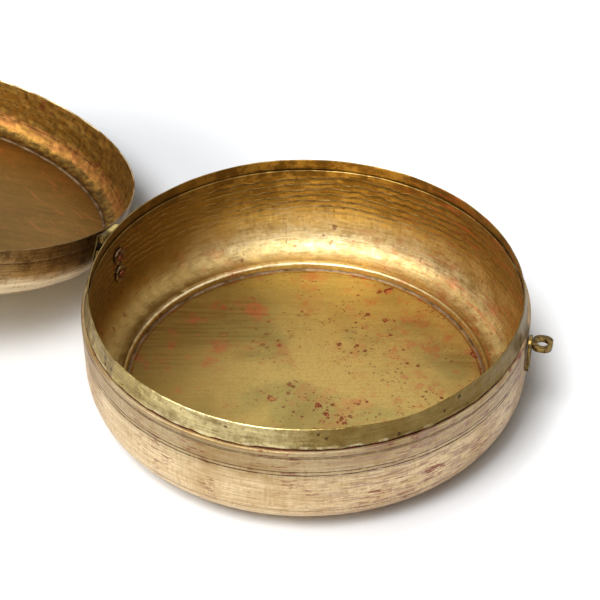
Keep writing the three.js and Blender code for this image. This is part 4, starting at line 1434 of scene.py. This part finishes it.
CAMERA_PLACE = (0.413905, -0.815852, 0.801210)
CAMERA_TURN = tuple(math.radians(degrees) for degrees in (51.440, 0.045, 27.120))
CAMERA_LENS = 104.7
FLOOR_SIZE = 30.0
FLOOR_TINT = (0.985, 1.0, 1.025)
BASE_SHADE = 0.149
BASE_SHADE_REACH = 0.045
LID_SHADE = 0.12
LID_SHADE_REACH = 0.14
LID_SHADE_CENTRE = (-0.25, 0.07, 0)
KEY_PLACE = (-0.26, -1.46, 2.37)
KEY_SIZE = 1.2
FILL_PLACE = (0.22, -1.46, 2.14)
FILL_SIZE = 1.6
SIDE_PLACE = (-1.72, -0.876, 2.3)
SIDE_SIZE = 1.6
LAMP_TARGET = Vector((-0.05, 0, 0.04))
FAR_FLOOR = (0.45, 1.5)
FLOOR_IN_BRASS = 0.3
SKY_TOP = 0.6
SENSOR_WIDTH = 36
VIEW_END = 60


def looking_rays(tree, glossy_share):
    """1 where the camera looks straight or through glass, and a share of it where metal mirrors"""
    rays = tree.nodes.new("ShaderNodeLightPath").outputs
    direct = sums("MAXIMUM", rays["Is Camera Ray"], rays["Is Transmission Ray"])
    return sums("MAXIMUM", direct, times(rays["Is Glossy Ray"], glossy_share))


def pale_floor(stage):
    """Floor that is white clear of the box, to the camera and the brass, and keeps its shadows"""
    material = bpy.data.materials.new("Pale floor")
    material.use_nodes = True
    tree = material.node_tree
    tree.nodes.clear()
    matt = tree.nodes.new("ShaderNodeBsdfDiffuse")
    feed(matt.inputs["Color"], [stage.floor_shade * part for part in FLOOR_TINT])
    place = tree.nodes.new("ShaderNodeTexCoord").outputs["Object"]
    about_lid = vectors("SUBTRACT", place, LID_SHADE_CENTRE)
    base_away, lid_away = length_of(place), length_of(about_lid)
    clear_of_base = ramped(base_away, BASE_SHADE, BASE_SHADE + BASE_SHADE_REACH)
    clear_of_lid = ramped(lid_away, LID_SHADE, LID_SHADE + LID_SHADE_REACH)
    near = times(sums("MINIMUM", clear_of_base, clear_of_lid), stage.floor_lift)
    lift = sums("MAXIMUM", near, ramped(base_away, *FAR_FLOOR))
    strength = times(looking_rays(tree, FLOOR_IN_BRASS), lift)
    glow = node("ShaderNodeEmission", {"Color": (1, 1, 1), "Strength": strength}).outputs[0]
    both = node("ShaderNodeAddShader", {0: matt.outputs[0], 1: glow}).outputs[0]
    node("ShaderNodeOutputMaterial", {"Surface": both})
    return material


def studio_sky(stage):
    """Little light all round, plain white to the camera, and paler overhead where the brass mirrors it"""
    world = bpy.data.worlds.new("Studio sky")
    world.use_nodes = True
    tree = world.node_tree
    tree.nodes.clear()
    way = tree.nodes.new("ShaderNodeTexCoord").outputs["Object"]
    upward = node("ShaderNodeSeparateXYZ", {0: way}).outputs[2]
    above = ramped(upward, 0.0, SKY_TOP, stage.horizon, 1.0)
    strength = sums("MAXIMUM", looking_rays(tree, above), stage.sky)
    light = node("ShaderNodeBackground", {"Color": (1, 1, 1), "Strength": strength}).outputs[0]
    node("ShaderNodeOutputWorld", {"Surface": light})
    return world


def hung_lamp(name, place, power, size):
    """A square soft lamp that looks at the box"""
    bpy.ops.object.light_add(type="AREA", location=place)
    lamp = bpy.context.object
    lamp.name = name
    lamp.data.energy = power
    lamp.data.size = size
    lamp.rotation_euler = (LAMP_TARGET - lamp.location).to_track_quat("-Z", "Y").to_euler()
    return lamp


class BRASSBOX_OT_stage(bpy.types.Operator):
    """Lay the pale floor, hang the lamps and set the camera"""

    bl_idname = "brassbox.stage"
    bl_label = "Stage"

    def execute(self, context):
        scene = context.scene
        stage = scene.brass_box_stage
        deselect_all()
        bpy.ops.mesh.primitive_plane_add(size=FLOOR_SIZE, location=(0, 0, 0))
        ground = context.object
        ground.name = "studio_floor"
        ground.data.materials.append(pale_floor(stage))
        scene.world = studio_sky(stage)
        hung_lamp("key_lamp", KEY_PLACE, stage.key_power, KEY_SIZE)
        hung_lamp("fill_lamp", FILL_PLACE, stage.fill_power, FILL_SIZE)
        hung_lamp("side_lamp", SIDE_PLACE, stage.side_power, SIDE_SIZE)

        bpy.ops.object.camera_add(location=CAMERA_PLACE, rotation=CAMERA_TURN)
        camera = context.object
        camera.name = "photo_camera"
        camera.data.lens = CAMERA_LENS
        camera.data.sensor_width = SENSOR_WIDTH
        camera.data.clip_end = VIEW_END
        scene.camera = camera
        scene.view_settings.view_transform = "Standard"
        return {"FINISHED"}


STEPS = (
    BRASSBOX_OT_finishes,
    BRASSBOX_OT_base_shell,
    BRASSBOX_OT_collar,
    BRASSBOX_OT_floor,
    BRASSBOX_OT_base_hinge,
    BRASSBOX_OT_eye_and_link,
    BRASSBOX_OT_lid_shell,
    BRASSBOX_OT_lid_hinge,
    BRASSBOX_OT_hasp,
    BRASSBOX_OT_stage,
)


class BRASSBOX_PT_panel(bpy.types.Panel):
    """Lists the steps that build the box"""

    bl_idname = "BRASSBOX_PT_panel"
    bl_label = "Brass Box"
    bl_space_type = "VIEW_3D"
    bl_region_type = "UI"
    bl_category = "Brass Box"

    def draw(self, context):
        for step in STEPS:
            self.layout.operator(step.bl_idname)
        for group in (
            context.scene.brass_box_sizes, context.scene.brass_box_finishes, context.scene.brass_box_stage
        ):
            column = self.layout.column(align=True)
            for name in group.__annotations__:
                column.prop(group, name)


CLASSES = (BoxSizes, BoxFinishes, BoxStage, *STEPS, BRASSBOX_PT_panel)


def register():
    for one in CLASSES:
        bpy.utils.register_class(one)
    bpy.types.Scene.brass_box_sizes = bpy.props.PointerProperty(type=BoxSizes)
    bpy.types.Scene.brass_box_finishes = bpy.props.PointerProperty(type=BoxFinishes)
    bpy.types.Scene.brass_box_stage = bpy.props.PointerProperty(type=BoxStage)


def unregister():
    del bpy.types.Scene.brass_box_stage
    del bpy.types.Scene.brass_box_finishes
    del bpy.types.Scene.brass_box_sizes
    for one in reversed(CLASSES):
        bpy.utils.unregister_class(one)


def main():
    register()
    bpy.ops.brassbox.finishes()
    bpy.ops.brassbox.base_shell()
    bpy.ops.brassbox.collar()
    bpy.ops.brassbox.floor()
    bpy.ops.brassbox.base_hinge()
    bpy.ops.brassbox.eye_and_link()
    bpy.ops.brassbox.lid_shell()
    bpy.ops.brassbox.lid_hinge()
    bpy.ops.brassbox.hasp()
    bpy.ops.brassbox.stage()


if __name__ == "__main__":
    main()
